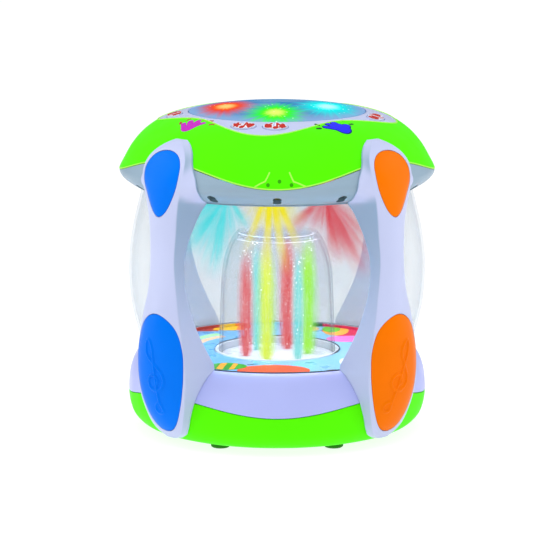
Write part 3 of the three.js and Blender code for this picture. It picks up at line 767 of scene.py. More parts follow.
# Dark slate for painted shadow lines in gaps.
SLATE_PAINTED_SHADE = moulded("slate_plastic", "46505f", rough=0.5)
WINDOW_CLEAR = clear(
    "window_clear_plastic", "c4ccd2", (0.95, 0.958, 0.965), edge=0.36, edge_power=4, veil=0.3,
)
DOME_CLEAR = clear("dome_clear_plastic", "5f6676", (0.975, 0.98, 0.985), edge=1.0, edge_power=7.5)
STEEL = steel()
PAD = lit_pad()
RED_INK = printed("red_ink", "c8281c")
WHITE_INK = printed("white_ink", "fbfbff")


# ---- Top: cover, panel, drum pad, housing ----

def cover_outline(angle):
    hole, edge = TOP.where(0, lobe_radius(angle)), TOP.where(1, wave(COVER_EDGE, angle))
    outer = TOP.part(hole, edge, 44)
    inner = TOP.part(hole, edge, 30, WALL)[:0:-1]
    outline = np.vstack([outer, inner, [[outer[0][0], outer[0][1] - 3]]])
    return rounded(outline, 0.7, corners=(0, 44, 45))


def panel_outline(angle):
    edge = lobe_radius(angle) - GAP
    lip, flange = edge + 3, 57.7
    top = [(r, dome_height(r)) for r in np.linspace(PANEL_HOLE, edge, 12)]
    below = [(edge, 3.4), (lip, 3.6), (lip, 5.2), (flange, 5), (flange, 3.2), (PANEL_HOLE, 3.2)]
    outline = np.array(top + [(r, dome_height(r) - drop) for r, drop in below])
    return rounded(outline, 0.5, corners=(0, 11))


def housing_outline(angle):
    edge = TOP.where(1, wave(COVER_EDGE, angle) - 0.6)
    outer = TOP.part(edge, TOP.end, 30)
    inner = TOP.part(edge, TOP.end, 20, WALL)[::-1]
    rim = [(83, CEILING_UNDERSIDE), (83, HOUSING_RIM), (81.2, HOUSING_RIM), (81.2, CEILING_UNDERSIDE)]
    rows = [(0, CEILING_TOP), *inner, *outer, *rim, (0, CEILING_UNDERSIDE)]
    return rounded(rows, 0.6, corners=(22, 52))


ring("cover_shell", cover_outline, GREEN, "green_shell", "top_cover", segments=256)

LENSES = {"cyan": (-33, -18), "yellow": (0, -37), "red": (33, -18)}
housing = ring("housing_shell", housing_outline, HOUSING, "housing_shell", "top_housing", closed=False)
wells = [round_cutter(WELL_RADIUS, *polar(SCREW_CIRCLE, azimuth), 150, 166) for azimuth in SCREW_AZIMUTHS]
wells += [
    ball_cutter(DIMPLE_RADIUS, *polar(DIMPLE_CIRCLE, azimuth), DIMPLE_HEIGHT) for azimuth in SCREW_AZIMUTHS
]
# The wells and dimples pass this colour to the walls that they cut: painted shade in the hollows.
for well in wells:
    well.data.materials.append(RECESS_PAINTED_SHADE)
cut(housing, wells + [round_cutter(6.4, x, y, 152, 160) for x, y in LENSES.values()])


class Button:
    """A song button: an oval on the panel's lobe, with its own frame of radial, tangential and normal."""

    def __init__(self, name, azimuth, wide, out=64.4, tall=5.0):
        self.name, self.tall, self.wide = name, tall, wide
        slope = math.atan((dome_height(out - 1) - dome_height(out + 1)) / 2)
        turn = Matrix.Rotation(math.radians(azimuth), 3, "Z") @ Matrix.Rotation(slope, 3, "Y")
        self.frame = np.array(turn)
        self.centre = np.array([*polar(out, azimuth), dome_height(out)])

    def place(self, points):
        return np.asarray(points, float) @ self.frame.T + self.centre

    def on_top(self, u, v, lift):
        """Print coordinates: u runs across the button and v away from the drum's middle, up the icon."""
        return self.place(np.stack([-v, u, np.full_like(u, BUTTON_PROFILE[-1][1] + lift)], axis=1))

    def solid(self, profile, margin=0.0, sides=64):
        turns = np.linspace(0, 2 * math.pi, sides, endpoint=False)
        tall, wide = self.tall + margin, self.wide + margin
        rows = [
            np.stack([tall * share * np.cos(turns), wide * share * np.sin(turns), np.full(sides, z)], axis=1)
            for share, z in profile
        ]
        return self.place(np.vstack(rows)), tube_faces(len(rows), sides)


BUTTONS = [
    Button("front_left", 251.5, 7.8), Button("front_right", 269, 7.8), Button("left", 185, 10.5),
    Button("right", 342.5, 10.5),
]
BUTTON_PROFILE = (  # share of the oval, and height over the panel
    (0.96, -5.4), (1, -5.2), (1, 0.05), (0.985, 0.3), (0.94, 0.46), (0.8, 0.55), (0.4, 0.61), (0.05, 0.62),
)

panel = ring("panel_shell", panel_outline, LAVENDER, "lavender_shell", "top_panel", segments=256)
cut(panel, [cutter(*button.solid(((1, -8), (1, 3)), GAP)) for button in BUTTONS])

crown = [  # the pad stands a little proud of the top
    (r, dome_height(r) + 0.3 * (1 - (r / PAD_RADIUS) ** 8)) for r in np.linspace(0, PAD_RADIUS + 0.3, 40)
]
pad_edge = dome_height(PAD_RADIUS)
pad_profile = crown + [
    (PAD_RADIUS + 0.3, pad_edge - 4), (57, pad_edge - 4), (57, pad_edge - 5.6), (52, pad_edge - 5.6),
    (51, pad_edge - 2.4), (30, dome_height(30) - 2.7), (0, dome_height(0) - 2.7),
]
pad_profile = rounded(pad_profile, 0.9, corners=(39,))
ring(
    "drum_pad_skin", lambda angle: pad_profile, PAD, "translucent_pad", "drum_pad", "pad", segments=128,
    closed=False,
)


# ---- Icons on the buttons, hands on the cover ----

def note_icon(u, v):
    stem = capsule(u, v, (0.75, -1.2), (0.75, 1.9), 0.3)
    flag = capsule(u, v, (0.8, 1.8), (1.9, 0.7), 0.34)
    head = disc_shape(u, v, 0.0, -1.4, 0.85, wide=1.25)
    return union(stem, flag, head)


def star_icon(u, v):
    return flower_shape(u, v, 0, 0, 1.45, 5, depth=0.34, turn=-math.pi / 2)


def heart_icon(u, v):
    lobes = union(disc_shape(u, v, -0.85, 0.55, 1.05), disc_shape(u, v, 0.85, 0.55, 1.05))
    tip = overlap(np.abs(u) * 0.75 + np.abs(v + 0.1) * 0.72 - 1.42, v - 0.9)
    return union(lobes, tip)


def drum_icon(u, v):
    body = bar(u, v, 0, -0.4, 1.6, 1.1) - 0.12
    band = bar(u, v, 0, 0.05, 2, 0.16)
    sticks = strokes(((-1.9, 2.0), (-0.2, 1.1), 0.26), ((1.9, 2.0), (0.2, 1.1), 0.26))
    return union(overlap(body, -band), sticks(u, v))


def fish_icon(u, v):
    body = disc_shape(u, v, -0.6, 0, 1.35, wide=1.7)
    tail = overlap(np.abs(v) - (u - 1.0) * 0.95, u - 3.0)
    eye = disc_shape(u, v, -1.9, 0.25, 0.34)
    gill = bar(u, v, -0.9, 0, 0.14, 0.8)
    return overlap(union(body, tail), -eye, -gill)


def flag_icon(u, v):
    pole = capsule(u, v, (-2.0, -2.0), (-2.0, 2.0), 0.3)
    ripple = 0.7 + 0.22 * np.sin(1.6 * u)
    cloth, stripe = bar(u, v, 0, ripple, 1.9, 1.1), bar(u, v, 0, ripple, 1.3, 0.2)
    return union(pole, overlap(cloth, -stripe))


def bell_icon(u, v):
    cup = overlap(np.hypot(u * (1.0 + 0.16 * v), v * 0.8) - 1.4, -v - 1.2)
    rim = capsule(u, v, (-1.9, -1.2), (1.9, -1.2), 0.32)
    return union(cup, rim, disc_shape(u, v, 0, -1.85, 0.45))


ICONS = {
    "front_left": ((-4.4, star_icon, 1.4), (-0.2, note_icon, 1.3), (4.3, heart_icon, 1.2)),
    "front_right": ((-4.3, drum_icon, 1.15), (0.1, note_icon, 1.3), (4.4, bell_icon, 1.15)),
    "left": ((-4.6, drum_icon, 1.6), (4.4, flag_icon, 1.6)),
    "right": ((-4.9, fish_icon, 1.45), (5.2, flag_icon, 1.4)),
}
ICON_STRETCH = 1.55  # icons are taller than wide, so that they read from the drum's side


def icon_row(marks, grow):
    """The signed distance of a row of icons, each (place along u, shape, size), grown by a margin."""
    return lambda u, v: union(*(
        size * shape((u - at) / size, v / size / ICON_STRETCH) for at, shape, size in marks
    )) - grow


def on_button(button, shape):
    """Keeps a print inside its button's oval."""
    tall, stretch = button.tall - 0.35, button.wide / button.tall
    return lambda u, v: overlap(shape(u, v), disc_shape(u, v, 0, 0, tall, stretch))


PRINT_LAYERS = (  # name part, margin round the icons, sampling step, ink and lift
    ("halo_", 0.75, 0.12, WHITE_INK, 0.06), ("", 0.24, 0.1, RED_INK, 0.12),
)
for button in BUTTONS:
    body, area = f"button_{button.name}", ((-button.wide, button.wide), (-4.8, 4.8))
    key = button.solid(BUTTON_PROFILE)
    piece(
        f"song_key_{button.name}", *key, LAVENDER, "lavender_shell", f"song_button_{button.name}", body,
    )
    for part, margin, step, ink, lift in PRINT_LAYERS:
        shape = on_button(button, icon_row(ICONS[button.name], margin))
        decal(
            f"icon_{part}{button.name}", shape, area, step, button.on_top, ink, "white_plastic", lift, 0.1,
            body,
        )


def on_dome(u, v, lift):
    """Print coordinates are x and y; the print lies on the top's crown."""
    return np.stack([u, v, dome_height(np.hypot(u, v)) + lift], axis=1)


# Each hand is a palm and then its fingers.
MAGENTA_HAND = strokes(
    ((-54.2, -47), (-51.2, -45.6), 4.7),
    ((-57.5, -47), (-57.6, -38.6), 1.6), ((-54, -45), (-53.2, -37.4), 1.9),
    ((-51, -45), (-48.2, -40), 1.9), ((-50, -48), (-45.4, -46.6), 1.8),
)
BLUE_HAND = strokes(
    ((40.2, -58.2), (37, -56.6), 4.7),
    ((37, -60), (29.6, -60.2), 1.5), ((36.5, -57.5), (31.2, -55.2), 1.6),
    ((37, -55), (34.6, -51.6), 1.7), ((42, -57), (42.4, -52.8), 2.1),
)
MAGENTA_DASHES = strokes(
    ((-59.6, -37), (-59.4, -33.6), 0.8), ((-55.4, -32.8), (-54, -31.6), 0.8),
    ((-41.4, -44.2), (-39.6, -45.4), 0.85), ((-41.2, -51.6), (-38.8, -52), 0.85),
)
BLUE_DASHES = strokes(
    ((23.6, -57.6), (25.2, -58.8), 1.0), ((24.6, -63.8), (26.2, -63.2), 1.0),
    ((39.6, -44.6), (41.2, -43.4), 0.9), ((44.6, -49), (46, -47.8), 0.9),
)


def hand_edge(u, v):
    return BLUE_HAND(u, v) - 0.75


MAGENTA_AREA = ((-66, -36), (-60, -30))
BLUE_AREA = ((20, 53), (-70, -42))
for name, shape, area, ink, lift in (
    ("magenta_hand", MAGENTA_HAND, MAGENTA_AREA, printed("magenta_ink", "cb22c4"), 0.16),
    ("magenta_dashes", MAGENTA_DASHES, MAGENTA_AREA, printed("rose_ink", "b04a3a"), 0.12),
    ("blue_hand_outline", hand_edge, BLUE_AREA, printed("navy_ink", "101468"), 0.08),
    ("blue_hand", BLUE_HAND, BLUE_AREA, printed("blue_ink", "2222fa"), 0.18),
    ("blue_dashes", BLUE_DASHES, BLUE_AREA, printed("dark_green_ink", "1c5a20"), 0.12),
):
    decal(name, shape, area, 0.22, on_dome, ink, "green_shell", lift)


def bead(name, radius_at, height_at, thickness=0.5):
    """A fine round bead right round the drum, along a radius and a height that vary with the angle. Its pale
    green is a painted highlight along an edge.
    """
    def outline(angle):
        return circle(thickness, radius_at(angle), height_at(angle), 8)

    ring(name, outline, GREEN_PAINTED_HIGHLIGHT, "green_shell", segments=256)


def edge_radius(angle):
    return TOP.part(TOP.where(1, wave(COVER_EDGE, angle)), TOP.end, 1)[0][0]


bead("panel_bead", lobe_radius, lambda angle: dome_height(lobe_radius(angle)))
bead("cover_edge_bead", lambda angle: edge_radius(angle) - 0.25, lambda angle: wave(COVER_EDGE, angle))


def on_front(u, v, lift):
    """Print coordinates are x and z; the shape lies on the front of the cover."""
    radius = np.interp(v, CROWN[::-1, 1], CROWN[::-1, 0]) + lift
    return np.stack([u, -np.sqrt(radius**2 - u**2), v], axis=1)


# The lip's ridges and dimples are embossed in the cover's green. The ridges carry a painted highlight and
# the dimples painted shade.
LIP_RIDGES = (
    ((-13.3, 168.2), (-9.7, 170.2), (-7.3, 171.2), (-6.0, 173.4), (-4.6, 176.2)),
    ((17, 168.3), (12.6, 170.2), (9.8, 171.2), (8.7, 173.4), (7.4, 176.2)),
)
LIP_DIMPLES = ((-5.5, 169.2), (1.4, 171.2), (8.6, 169.2))
LIP_AREA = ((-16, 20), (167.2, 178))
for k, path in enumerate(LIP_RIDGES):
    ridge = strokes(*((a, b, 0.42) for a, b in zip(path, path[1:])))
    decal(f"lip_ridge_{k + 1}", ridge, LIP_AREA, 0.15, on_front, GREEN_PAINTED_HIGHLIGHT, "green_shell", 0.3, 0.5)
for k, (x, z) in enumerate(LIP_DIMPLES):
    dimple = strokes(((x, z), (x, z), 1.05))
    decal(f"lip_dimple_{k + 1}", dimple, LIP_AREA, 0.15, on_front, DIMPLE_PAINTED_SHADE, "green_shell", 0.12, 0.3)


# ---- Window, dome, fountain and beams ----

window_outline = rounded(
    np.vstack([WINDOW.part(0, WINDOW.end, 60), WINDOW.part(0, WINDOW.end, 60, -WINDOW_WALL)[::-1]]), 0.4,
    corners=(0, 60, 61, 121),
)
ring("window_skin", lambda angle: window_outline, WINDOW_CLEAR, "clear_plastic", "window_shell")

dome_outer = smooth_path([
    (25.6, 125.2), (28.8, 120.8), (32.0, 113.4), (34.0, 105), (35.2, 95), (36.2, 70), (37, 46.3),
])
dome_inner = smooth_path([
    (35.5, 46.3), (34.8, 70), (33.8, 94.6), (32.6, 104), (30.6, 112.2), (27.6, 119.4), (25.0, 122.8),
])
dome_profile = np.vstack([[(0, 124.2), (23.4, 124.2), (24.2, 125.2)], dome_outer, dome_inner, [(0, 122.8)]])
ring(
    "dome_skin", lambda angle: dome_profile, DOME_CLEAR, "clear_plastic", "fountain_dome", segments=128,
    closed=False,
)

turned("bowl_shell", [
    (2.6, 36), (30, 36), (37, 40), (39.4, 44), (39.4, 50.3), (37.6, 50.3), (37.6, 44.2), (34.4, 44.2),
    (34, 41.5), (29, 38), (2.6, 38),
], WHITE, "white_plastic", "fountain_bowl", 0.8, segments=128, closed=True)


def arc_cord(name, radius, height, start, end, thickness, material, slot):
    """A thin round cord along part of a circle about the drum's axis, between two azimuths in degrees."""
    path = [(*polar(radius, start + (end - start) * k / 80), height) for k in range(81)]
    piece(name, *tube_mesh(path, lambda t: thickness * min(1, 12 * t, 12 * (1 - t)) + 0.02), material, slot)


# White cords along the front of the dome's top rings: painted highlights on the ring steps.
arc_cord("dome_rim_1", 25.0, 125.3, 190, 350, 0.16, WHITE, "clear_plastic")
arc_cord("dome_rim_2", 27.9, 122.4, 200, 340, 0.12, WHITE, "clear_plastic")
# A dark line round the back of the bowl rim and a dark ring at the window's foot: painted shadow in the
# gaps.
arc_cord("bowl_rim_line", 39.6, 50.35, -32, 172, 0.4, SLATE_PAINTED_SHADE, "white_plastic")
ring("window_seal", lambda angle: circle(0.4, 84.05, 51.5, 8), SLATE_PAINTED_SHADE, "lavender_shell")
turned("nozzle_plate", [
    (0, 44.5), (37.2, 44.5), (37.2, 46), (0, 46),
], WHITE, "tinsel", "tinsel_fountain", 0.3, segments=96)

JETS = (  # colour name, core and edge codes, tip height, density
    ("red", "d8101e", "ec5a64", 118, 1.0), ("lime", "fafa00", "b4f028", 124, 1.2),
    ("cyan", "3cdcd8", "a0f0ec", 118, 0.8), ("green", "b4fa00", "7cec20", 124, 1.2),
    ("scarlet", "d60c18", "ec545a", 124, 1.1), ("aqua", "3cdcd8", "a0f0ec", 119, 0.8),
)
JET_SHELLS = (1.12, 0.95, 0.78, 0.61, 0.44, 0.28)  # sizes of the nested skins of a jet
FLAKE_SIZES = (0.2, 0.28, 0.36, 0.55)


def jet_light(name, core_code, edge_code, x, y, tip, density):
    """Lit spray: dense and deep in colour at its axis, pale outside, with bright grains and streaks."""
    s = Shader(name)
    px, py, pz = s.parts()
    away = s.reach(s.minus(px, x * MM), s.minus(py, y * MM))
    tint = s.mix(s.ramp(away, 0.0016, 0.0054 * density), srgb(core_code), srgb(edge_code))
    grains = s.ramp(s.voronoi(700.0), 0.3, 0.12)
    tint = s.mix(s.times(grains, 0.6), tint, (1.0, 1.0, 0.94))
    streaks = s.noise(620, 3, place=s.vector(px, py, s.times(pz, 0.07)), roughness=0.6)
    tint = s.mix(s.ramp(streaks, 0.54, 0.72, 0.0, 0.4), tint, (1.0, 1.0, 0.96))
    share = s.ramp(away, 0.0012 * density, 0.0062 * density, 0.34 * density, 0.05 * density)
    share = s.times(share, s.ramp(streaks, 0.36, 0.62, 0.3, 1.25))
    share = s.times(share, s.ramp(pz, 0.0462, 0.0505, 0.25, 1.0), clamp=True)
    share = s.plus(share, s.times(grains, 0.08), clamp=True)
    share = s.times(share, s.ramp(pz, (tip - 32) * MM, tip * MM, 1.0, 0.0))
    return s.finish_light(share, tint, 1.22)


def jet_core(x, y, tip, share, density):
    """A slender column that bulges a little above its nozzle and narrows to its tip."""
    profile = [
        (0, NOZZLE_TOP + 0.2), (3.2, NOZZLE_TOP + 0.3), (4.2, 50), (5.2, 60), (5.9, 74), (5.6, 88),
        (4.8, 100), (3.6, tip - 7), (0, tip),
    ]
    profile = [(radius * share * density, z) for radius, z in profile]
    rows = ring_grid(lambda angle: smooth_path(profile, 5), 28)
    rows[:, :, 0] += x
    rows[:, :, 1] += y
    return rows.reshape(-1, 3), grid_faces(28, rows.shape[1], wrap_rows=True)


def jet_strand(x, y, tip):
    """A fine strand of tinsel that sways up a jet, at random."""
    angle, start, reach = random.uniform(0, 2 * math.pi), random.uniform(0.2, 1.6), random.uniform(2.2, 4.2)
    foot, top = NOZZLE_TOP + 0.1, NOZZLE_TOP + (tip - NOZZLE_TOP) * random.uniform(0.45, 1.0)
    sway, phase = random.uniform(0.2, 0.7), random.uniform(0, 6.28)
    path = []
    for k in range(15):
        t = k / 14
        out = start + (reach - start) * math.sin(math.pi * min(1, t * 0.9)) + sway * math.sin(5 * t + phase)
        turn = angle + 0.5 * math.sin(3 * t + phase)
        path.append((x + out * math.cos(turn), y + out * math.sin(turn), foot + (top - foot) * t))
    return tube_mesh(path, lambda t: 0.16 * (1 - 0.6 * t), sides=4)


def flake(x, y, z, size):
    """A tiny six-cornered sequin of foil, turned at random."""
    angle = random.uniform(0, 6.28)
    turn = Matrix.Rotation(angle, 3, (random.random(), random.random(), random.random() + 0.1))
    corners = [(1, 0, 0), (0, 1, 0), (-1, 0, 0), (0, -1, 0), (0, 0, 0.4), (0, 0, -0.4)]
    vertices = [tuple(Vector((x, y, z)) + turn @ (size * Vector(c))) for c in corners]
    faces = [(i, (i + 1) % 4, 4) for i in range(4)] + [((i + 1) % 4, i, 5) for i in range(4)]
    return vertices, faces


flakes = []
for i, (tint, core_code, edge_code, tip, density) in enumerate(JETS):
    x, y = polar(JET_CIRCLE, JET_FIRST + 60 * i)
    spray = jet_light(f"jet_{tint}_light", core_code, edge_code, x, y, tip, density)
    shells = joined([jet_core(x, y, tip, share, density) for share in JET_SHELLS])
    piece(f"jet_column_{tint}", *shells, spray, "tinsel", sharp=60, merge=True)
    strands = joined([jet_strand(x, y, tip) for _ in range(16)])
    fade = (0.085, (tip - 6) * MM)
    foil = glow(f"jet_{tint}_foil", edge_code, 0.9, see_through=0.5, sparkle=0.2, fade=fade)
    piece(f"tinsel_tuft_{tint}", *strands, foil, "tinsel", sharp=180)
    for _ in range(80):
        out, turn, z = random.uniform(0.5, 4.4), random.uniform(0, 6.28), random.uniform(47, tip)
        size = random.choice(FLAKE_SIZES)
        flakes.append(flake(x + out * math.cos(turn), y + out * math.sin(turn), z, size))
# The foil sequins glow white: painted glints.
piece("tinsel_sequins", *joined(flakes), glow("sequin_light", "ffffff", 1.6), "tinsel", sharp=1)


def beam_light(name, code, apex, rays, seed):
    """Light that fans out of a lamp in soft streaked rays, each (angle, half-width, reach, strength)."""
    s = Shader(name)
    px, py, pz = s.parts()
    out, down = s.minus(px, apex[0] * MM), s.minus(apex[1] * MM, pz)
    turn, far = s.math("ARCTAN2", out, down), s.reach(out, down)
    share = 0.0
    for angle, half, reach, strength in rays:
        off = s.math("ABSOLUTE", s.minus(turn, math.radians(angle)))
        soft = s.ramp(off, math.radians(half), 0.0, 0.0, strength)
        share = s.plus(share, s.times(soft, s.ramp(far, 0.3 * reach * MM, reach * MM, 1.0, 0.0)))
    spokes = s.vector(s.times(turn, 6.0), seed * 3.7, s.times(far, 6.0))
    streak = s.ramp(s.noise(2.6, 2, place=spokes, roughness=0.6), 0.3, 0.7, 0.55, 1.15)
    inside = s.ramp(s.reach(px, py), 0.074, 0.086, 1.0, 0.0)  # dies away before it reaches the window
    return s.finish_light(s.times(s.times(share, streak), inside, clamp=True), srgb(code), 1.0)


def fan(apex, y, sweep, top, bottom, share):
    """A flattened cone of light from an apex (x, z), between two angles, as one of several nested skins."""
    rows, sides, vertices = 16, 40, []
    for i in range(rows):
        t = i / (rows - 1)
        z = top + (bottom - top) * t
        left, right = (apex[0] + math.tan(math.radians(angle)) * (apex[1] - z) for angle in sweep)
        middle, reach = (left + right) / 2, (right - left) / 2 * (0.96 + 0.04 * share)
        depth = share * (3 + 7 * math.sin(math.pi * min(1, 0.12 + 0.8 * t)))
        room = window_radius(z) - 3
        for k in range(sides):
            turn = 2 * math.pi * k / sides
            point = middle + reach * math.cos(turn), y + depth * math.sin(turn)
            scale = min(1.0, room / math.hypot(*point))
            vertices.append((point[0] * scale, point[1] * scale, z))
    return vertices, tube_faces(rows, sides)


LENS_PROFILE = [
    (0, 150.4), (2, 150.6), (3.6, 151.3), (5, 152.4), (5.8, 153.8), (6, 155), (6, 158.4), (7.6, 158.4),
    (7.6, 160), (0, 160),
]
BEAM_TOP, BEAM_FOOT, BEAM_SKINS = 150.2, 98, (1, 0.66, 0.33)
BEAMS = {  # tint: colour code, apex (x, z), sweep of angles, and the rays
    "cyan": ("2ce6ec", (-31, 151), (-74, 60), (
        (-60, 18, 34, 0.26), (-36, 16, 46, 0.22), (-12, 17, 58, 0.22), (31, 17, 28, 0.28), (8, 20, 32, 0.14),
        (-34, 60, 52, 0.13),
    )),
    "yellow": ("fff014", (-4.1, 161.5), (-58, 72), (
        (-19.5, 7.4, 52, 0.23), (-3.5, 6.4, 60, 0.24), (9.2, 6.4, 62, 0.24), (23.5, 7.4, 52, 0.22),
        (14, 44, 36, 0.20), (-2, 60, 32, 0.32),
    )),
    "red": ("e03040", (30, 151), (-66, 76), (
        (-45, 15, 36, 0.32), (-24, 16, 28, 0.22), (-4, 16, 24, 0.24), (13, 15, 48, 0.28), (28, 13, 62, 0.26),
        (44, 13, 54, 0.14), (60, 16, 42, 0.08), (24, 50, 50, 0.10),
    )),
}
for seed, (tint, (code, apex, sweep, rays)) in enumerate(BEAMS.items()):
    x, y = LENSES[tint]
    turned(
        f"lamp_lens_{tint}", LENS_PROFILE, glow(f"lens_{tint}_light", code, 1.0), f"lens_{tint}",
        f"beam_lens_{tint}", 0.3, at=(x, y),
    )
    skins = joined([fan(apex, y, sweep, BEAM_TOP, BEAM_FOOT, share) for share in BEAM_SKINS])
    light = beam_light(f"beam_{tint}_light", code, apex, rays, seed)
    piece(f"light_beam_{tint}", *skins, light, f"lens_{tint}", sharp=60)


# ---- Base, deck print and feet ----

BAY = {"x": 0, "y": 27.5, "width": 56, "depth": 47, "top": 21, "wall": 2}
DOOR = {"width": 55, "back": 57, "top": 5, "screw_y": 54, "screw_hole": 2.1}
SPEAKER, GRILLE_CIRCLE, GRILLE_HOLE = (0, -45), 8, 1.8
SWITCH = {"x": -44, "y": -8, "knob": 4.4, "travel": 7}
FEET = {"front_left": (-35, -61), "front_right": (35, -61), "rear_right": (35, 61), "rear_left": (-35, 61)}


def base_lower_outline(angle):
    top = BASE.where(1, wave(BASE_SPLIT, angle) - GAP)
    outer, inner = BASE.part(top, BASE.end, 36)[::-1], BASE.part(top, BASE.end, 20, WALL)
    return rounded([(0, BASE_UNDERSIDE), *outer, *inner, (0, BASE_FLOOR_TOP)], 0.5, corners=(37, 38))


def base_upper_outline(angle):
    split, under = BASE.where(1, wave(BASE_SPLIT, angle)), BASE.where(1, DECK_UNDERSIDE - 3)
    outer = BASE.part(0, split, 30)
    inner = BASE.part(under, split, 12, WALL)[::-1]
    deck = [(86, DECK_UNDERSIDE), (40.2, DECK_UNDERSIDE), (40.2, DECK_TOP), (83.6, DECK_TOP), (83.6, 51.2)]
    return rounded([*outer, *inner, *deck], 0.5, corners=(0, 30, 31))


base_lower = ring("base_bowl", base_lower_outline, GREEN, "green_shell", "base_lower_shell", closed=False)
bay_width, bay_depth = BAY["width"] + 2 * BAY["wall"], BAY["depth"] + 2 * BAY["wall"]
bay_outer = box_cutter(bay_width, bay_depth, BAY["x"], BAY["y"], 4, BAY["top"] + BAY["wall"])
screw_block = box_cutter(16, 8, 0, DOOR["screw_y"] + 1, 4, 19)
door_depth, door_middle = DOOR["back"] + GAP - BAY["y"], (DOOR["back"] + GAP + BAY["y"]) / 2
slot_width, slot_depth = SWITCH["knob"] + SWITCH["travel"] + 2 * GAP, SWITCH["knob"] + 2 * GAP
grille = [SPEAKER, *circle(GRILLE_CIRCLE, *SPEAKER, 6)]
cut(base_lower, [
    box_cutter(BAY["width"], BAY["depth"], BAY["x"], BAY["y"], 0, BAY["top"]),
    box_cutter(DOOR["width"] + 2 * GAP, door_depth, 0, door_middle, 0, DOOR["top"] + 0.3),
    round_cutter(DOOR["screw_hole"], 0, DOOR["screw_y"], 4, 12),
    box_cutter(slot_width, slot_depth, SWITCH["x"], SWITCH["y"], 1, 7),
    *(round_cutter(GRILLE_HOLE, x, y, 1, 7) for x, y in grille),
], joins=[bay_outer, screw_block])
ring("base_collar", base_upper_outline, BASE_LAVENDER_PAINTED_SHADE, "lavender_shell", "base_upper_shell")

FOOT_PROFILE = [(0, 0), (5, 0), (6, 0.8), (6, 2.7), (0, 2.7)]
for name, place in FEET.items():
    turned(f"rubber_foot_{name}", FOOT_PROFILE, FOOT_RUBBER, "foot_rubber", f"foot_{name}", 0.5, at=place)


def sky_print():
    """Printed sky: blue that pales towards one side, with soft white cloud, under a thin varnish."""
    s = Shader("sky_print")
    tint = s.mix(s.ramp(s.parts()[0], -0.07, 0.07), srgb("4ca8e4"), srgb("86cdec"))
    tint = s.mix(s.ramp(s.noise(16, 0), 0.5, 0.8, 0.0, 0.3), tint, srgb("b4e0f2"))
    tint = s.mix(s.ramp(s.noise(2400, 2), 0.3, 0.7, 0.0, 0.06), tint, srgb("3a90d8"))
    gloss = s.ramp(s.noise(60, 3), 0.3, 0.7, 0.25, 0.4)
    return s.finish_solid(tint, gloss, Coat_Weight=0.3, Coat_Roughness=0.1)


turned("deck_disc", [
    (39.9, 48.8), (80.2, 48.8), (80.2, DECK_PRINT), (39.9, DECK_PRINT),
], sky_print(), "printed_disc", "scene_disc", 0.2, segments=160, closed=True)


def on_deck(u, v, lift):
    return np.stack([u, v, np.full_like(u, DECK_PRINT + lift)], axis=1)


def within_disc(shape):
    """Keeps a print inside the deck disc."""
    outer, inner = 79.6, 40.6
    return lambda u, v: overlap(shape(u, v), np.hypot(u, v) - outer, inner - np.hypot(u, v))


def leaf(u, v):
    """A broad pointed leaf towards the front left."""
    x, y, half_length, half_width = u + 31, v + 56, 12.5, 11
    edge = half_width * np.sqrt(np.clip(1 - np.abs(x / half_length) ** 1.5, 0, 1))
    return np.abs(y) - edge + np.maximum(np.abs(x) - half_length, 0)


def leaf_stripes(u, v):
    """Two slanting bars that stay within the leaf."""
    slant = u + 31 - 0.16 * (v + 56)
    bars = union(np.abs(slant + 3.4) - 2.0, np.abs(slant - 4.2) - 1.5)
    return overlap(leaf(u, v) + 0.8, bars)


def block(u, v, left, right, low, high, slant=0.0):
    """An upright patch with slanted ends."""
    shifted = u - slant * (v - low)
    return overlap(left - shifted, shifted - right, low - v, v - high)


def arc_band(inner, outer, start, end):
    """Part of a ring about the drum's axis, between two azimuths in degrees."""
    middle, half = math.radians((start + end) / 2), math.radians(abs(end - start) / 2)

    def shape(u, v):
        radius, angle = np.hypot(u, v), np.arctan2(v, u) - middle
        angle = (angle + math.pi) % (2 * math.pi) - math.pi
        return overlap(inner - radius, radius - outer, (np.abs(angle) - half) * radius)
    return shape


def cloud(u, v):
    return union(disc_shape(u, v, 44, -42, 13, 0.4), disc_shape(u, v, 47, -34, 8, 0.7))


DISC_PRINTS = (  # name, shape, colour code and lift
    ("sun_patch", lambda u, v: disc_shape(u, v, -2.2, -68, 16, wide=1.4), "ee5428", 0.10),
    ("leaf_green", leaf, "2f9a1e", 0.12),
    ("leaf_stripe", leaf_stripes, "f6a21e", 0.16),
    ("leaf_stalk", lambda u, v: capsule(u, v, (-18, -51), (-12.5, -49), 0.7), "1c3a1c", 0.12),
    ("band_red", lambda u, v: block(u, v, -62, -38, 58, 82, -0.2), "b4382c", 0.08),
    ("band_yellow", lambda u, v: block(u, v, -42, -27, 61, 82, 0.1), "fdc814", 0.12),
    ("band_orange", lambda u, v: block(u, v, -31, -18.5, 62, 82, 0.1), "fb8a0c", 0.10),
    ("stripe_mint", arc_band(58, 64, 128, 160), "a8e4a0", 0.09),
    ("stripe_peach", arc_band(51, 56.5, 130, 162), "f4c49a", 0.12),
    ("flower_pink", lambda u, v: disc_shape(u, v, 44.5, 32, 9.8, wide=1.3), "fb74c8", 0.10),
    ("flower_red", lambda u, v: flower_shape(u, v, 49, 59, 18, 6, 0.1), "dc2450", 0.12),
    ("flower_yellow", lambda u, v: disc_shape(u, v, 38.4, 60, 17, wide=0.5), "fcae3c", 0.14),
    ("flower_green", lambda u, v: disc_shape(u, v, 35.6, 64, 10.5, wide=0.56), "6cc82c", 0.17),
    ("maroon_spots", lambda u, v: disc_shape(u, v, 35.2, -71, 5.0, 1.1), "6c1c34", 0.12),
    ("dark_hill", lambda u, v: block(u, v, 14, 31, 74, 82), "2c5a44", 0.13),
    ("peach_patch", lambda u, v: disc_shape(u, v, 20, 66, 8.5, wide=0.9), "f0b48c", 0.11),
    ("cloud_patch", cloud, "eefaf6", 0.09),
)
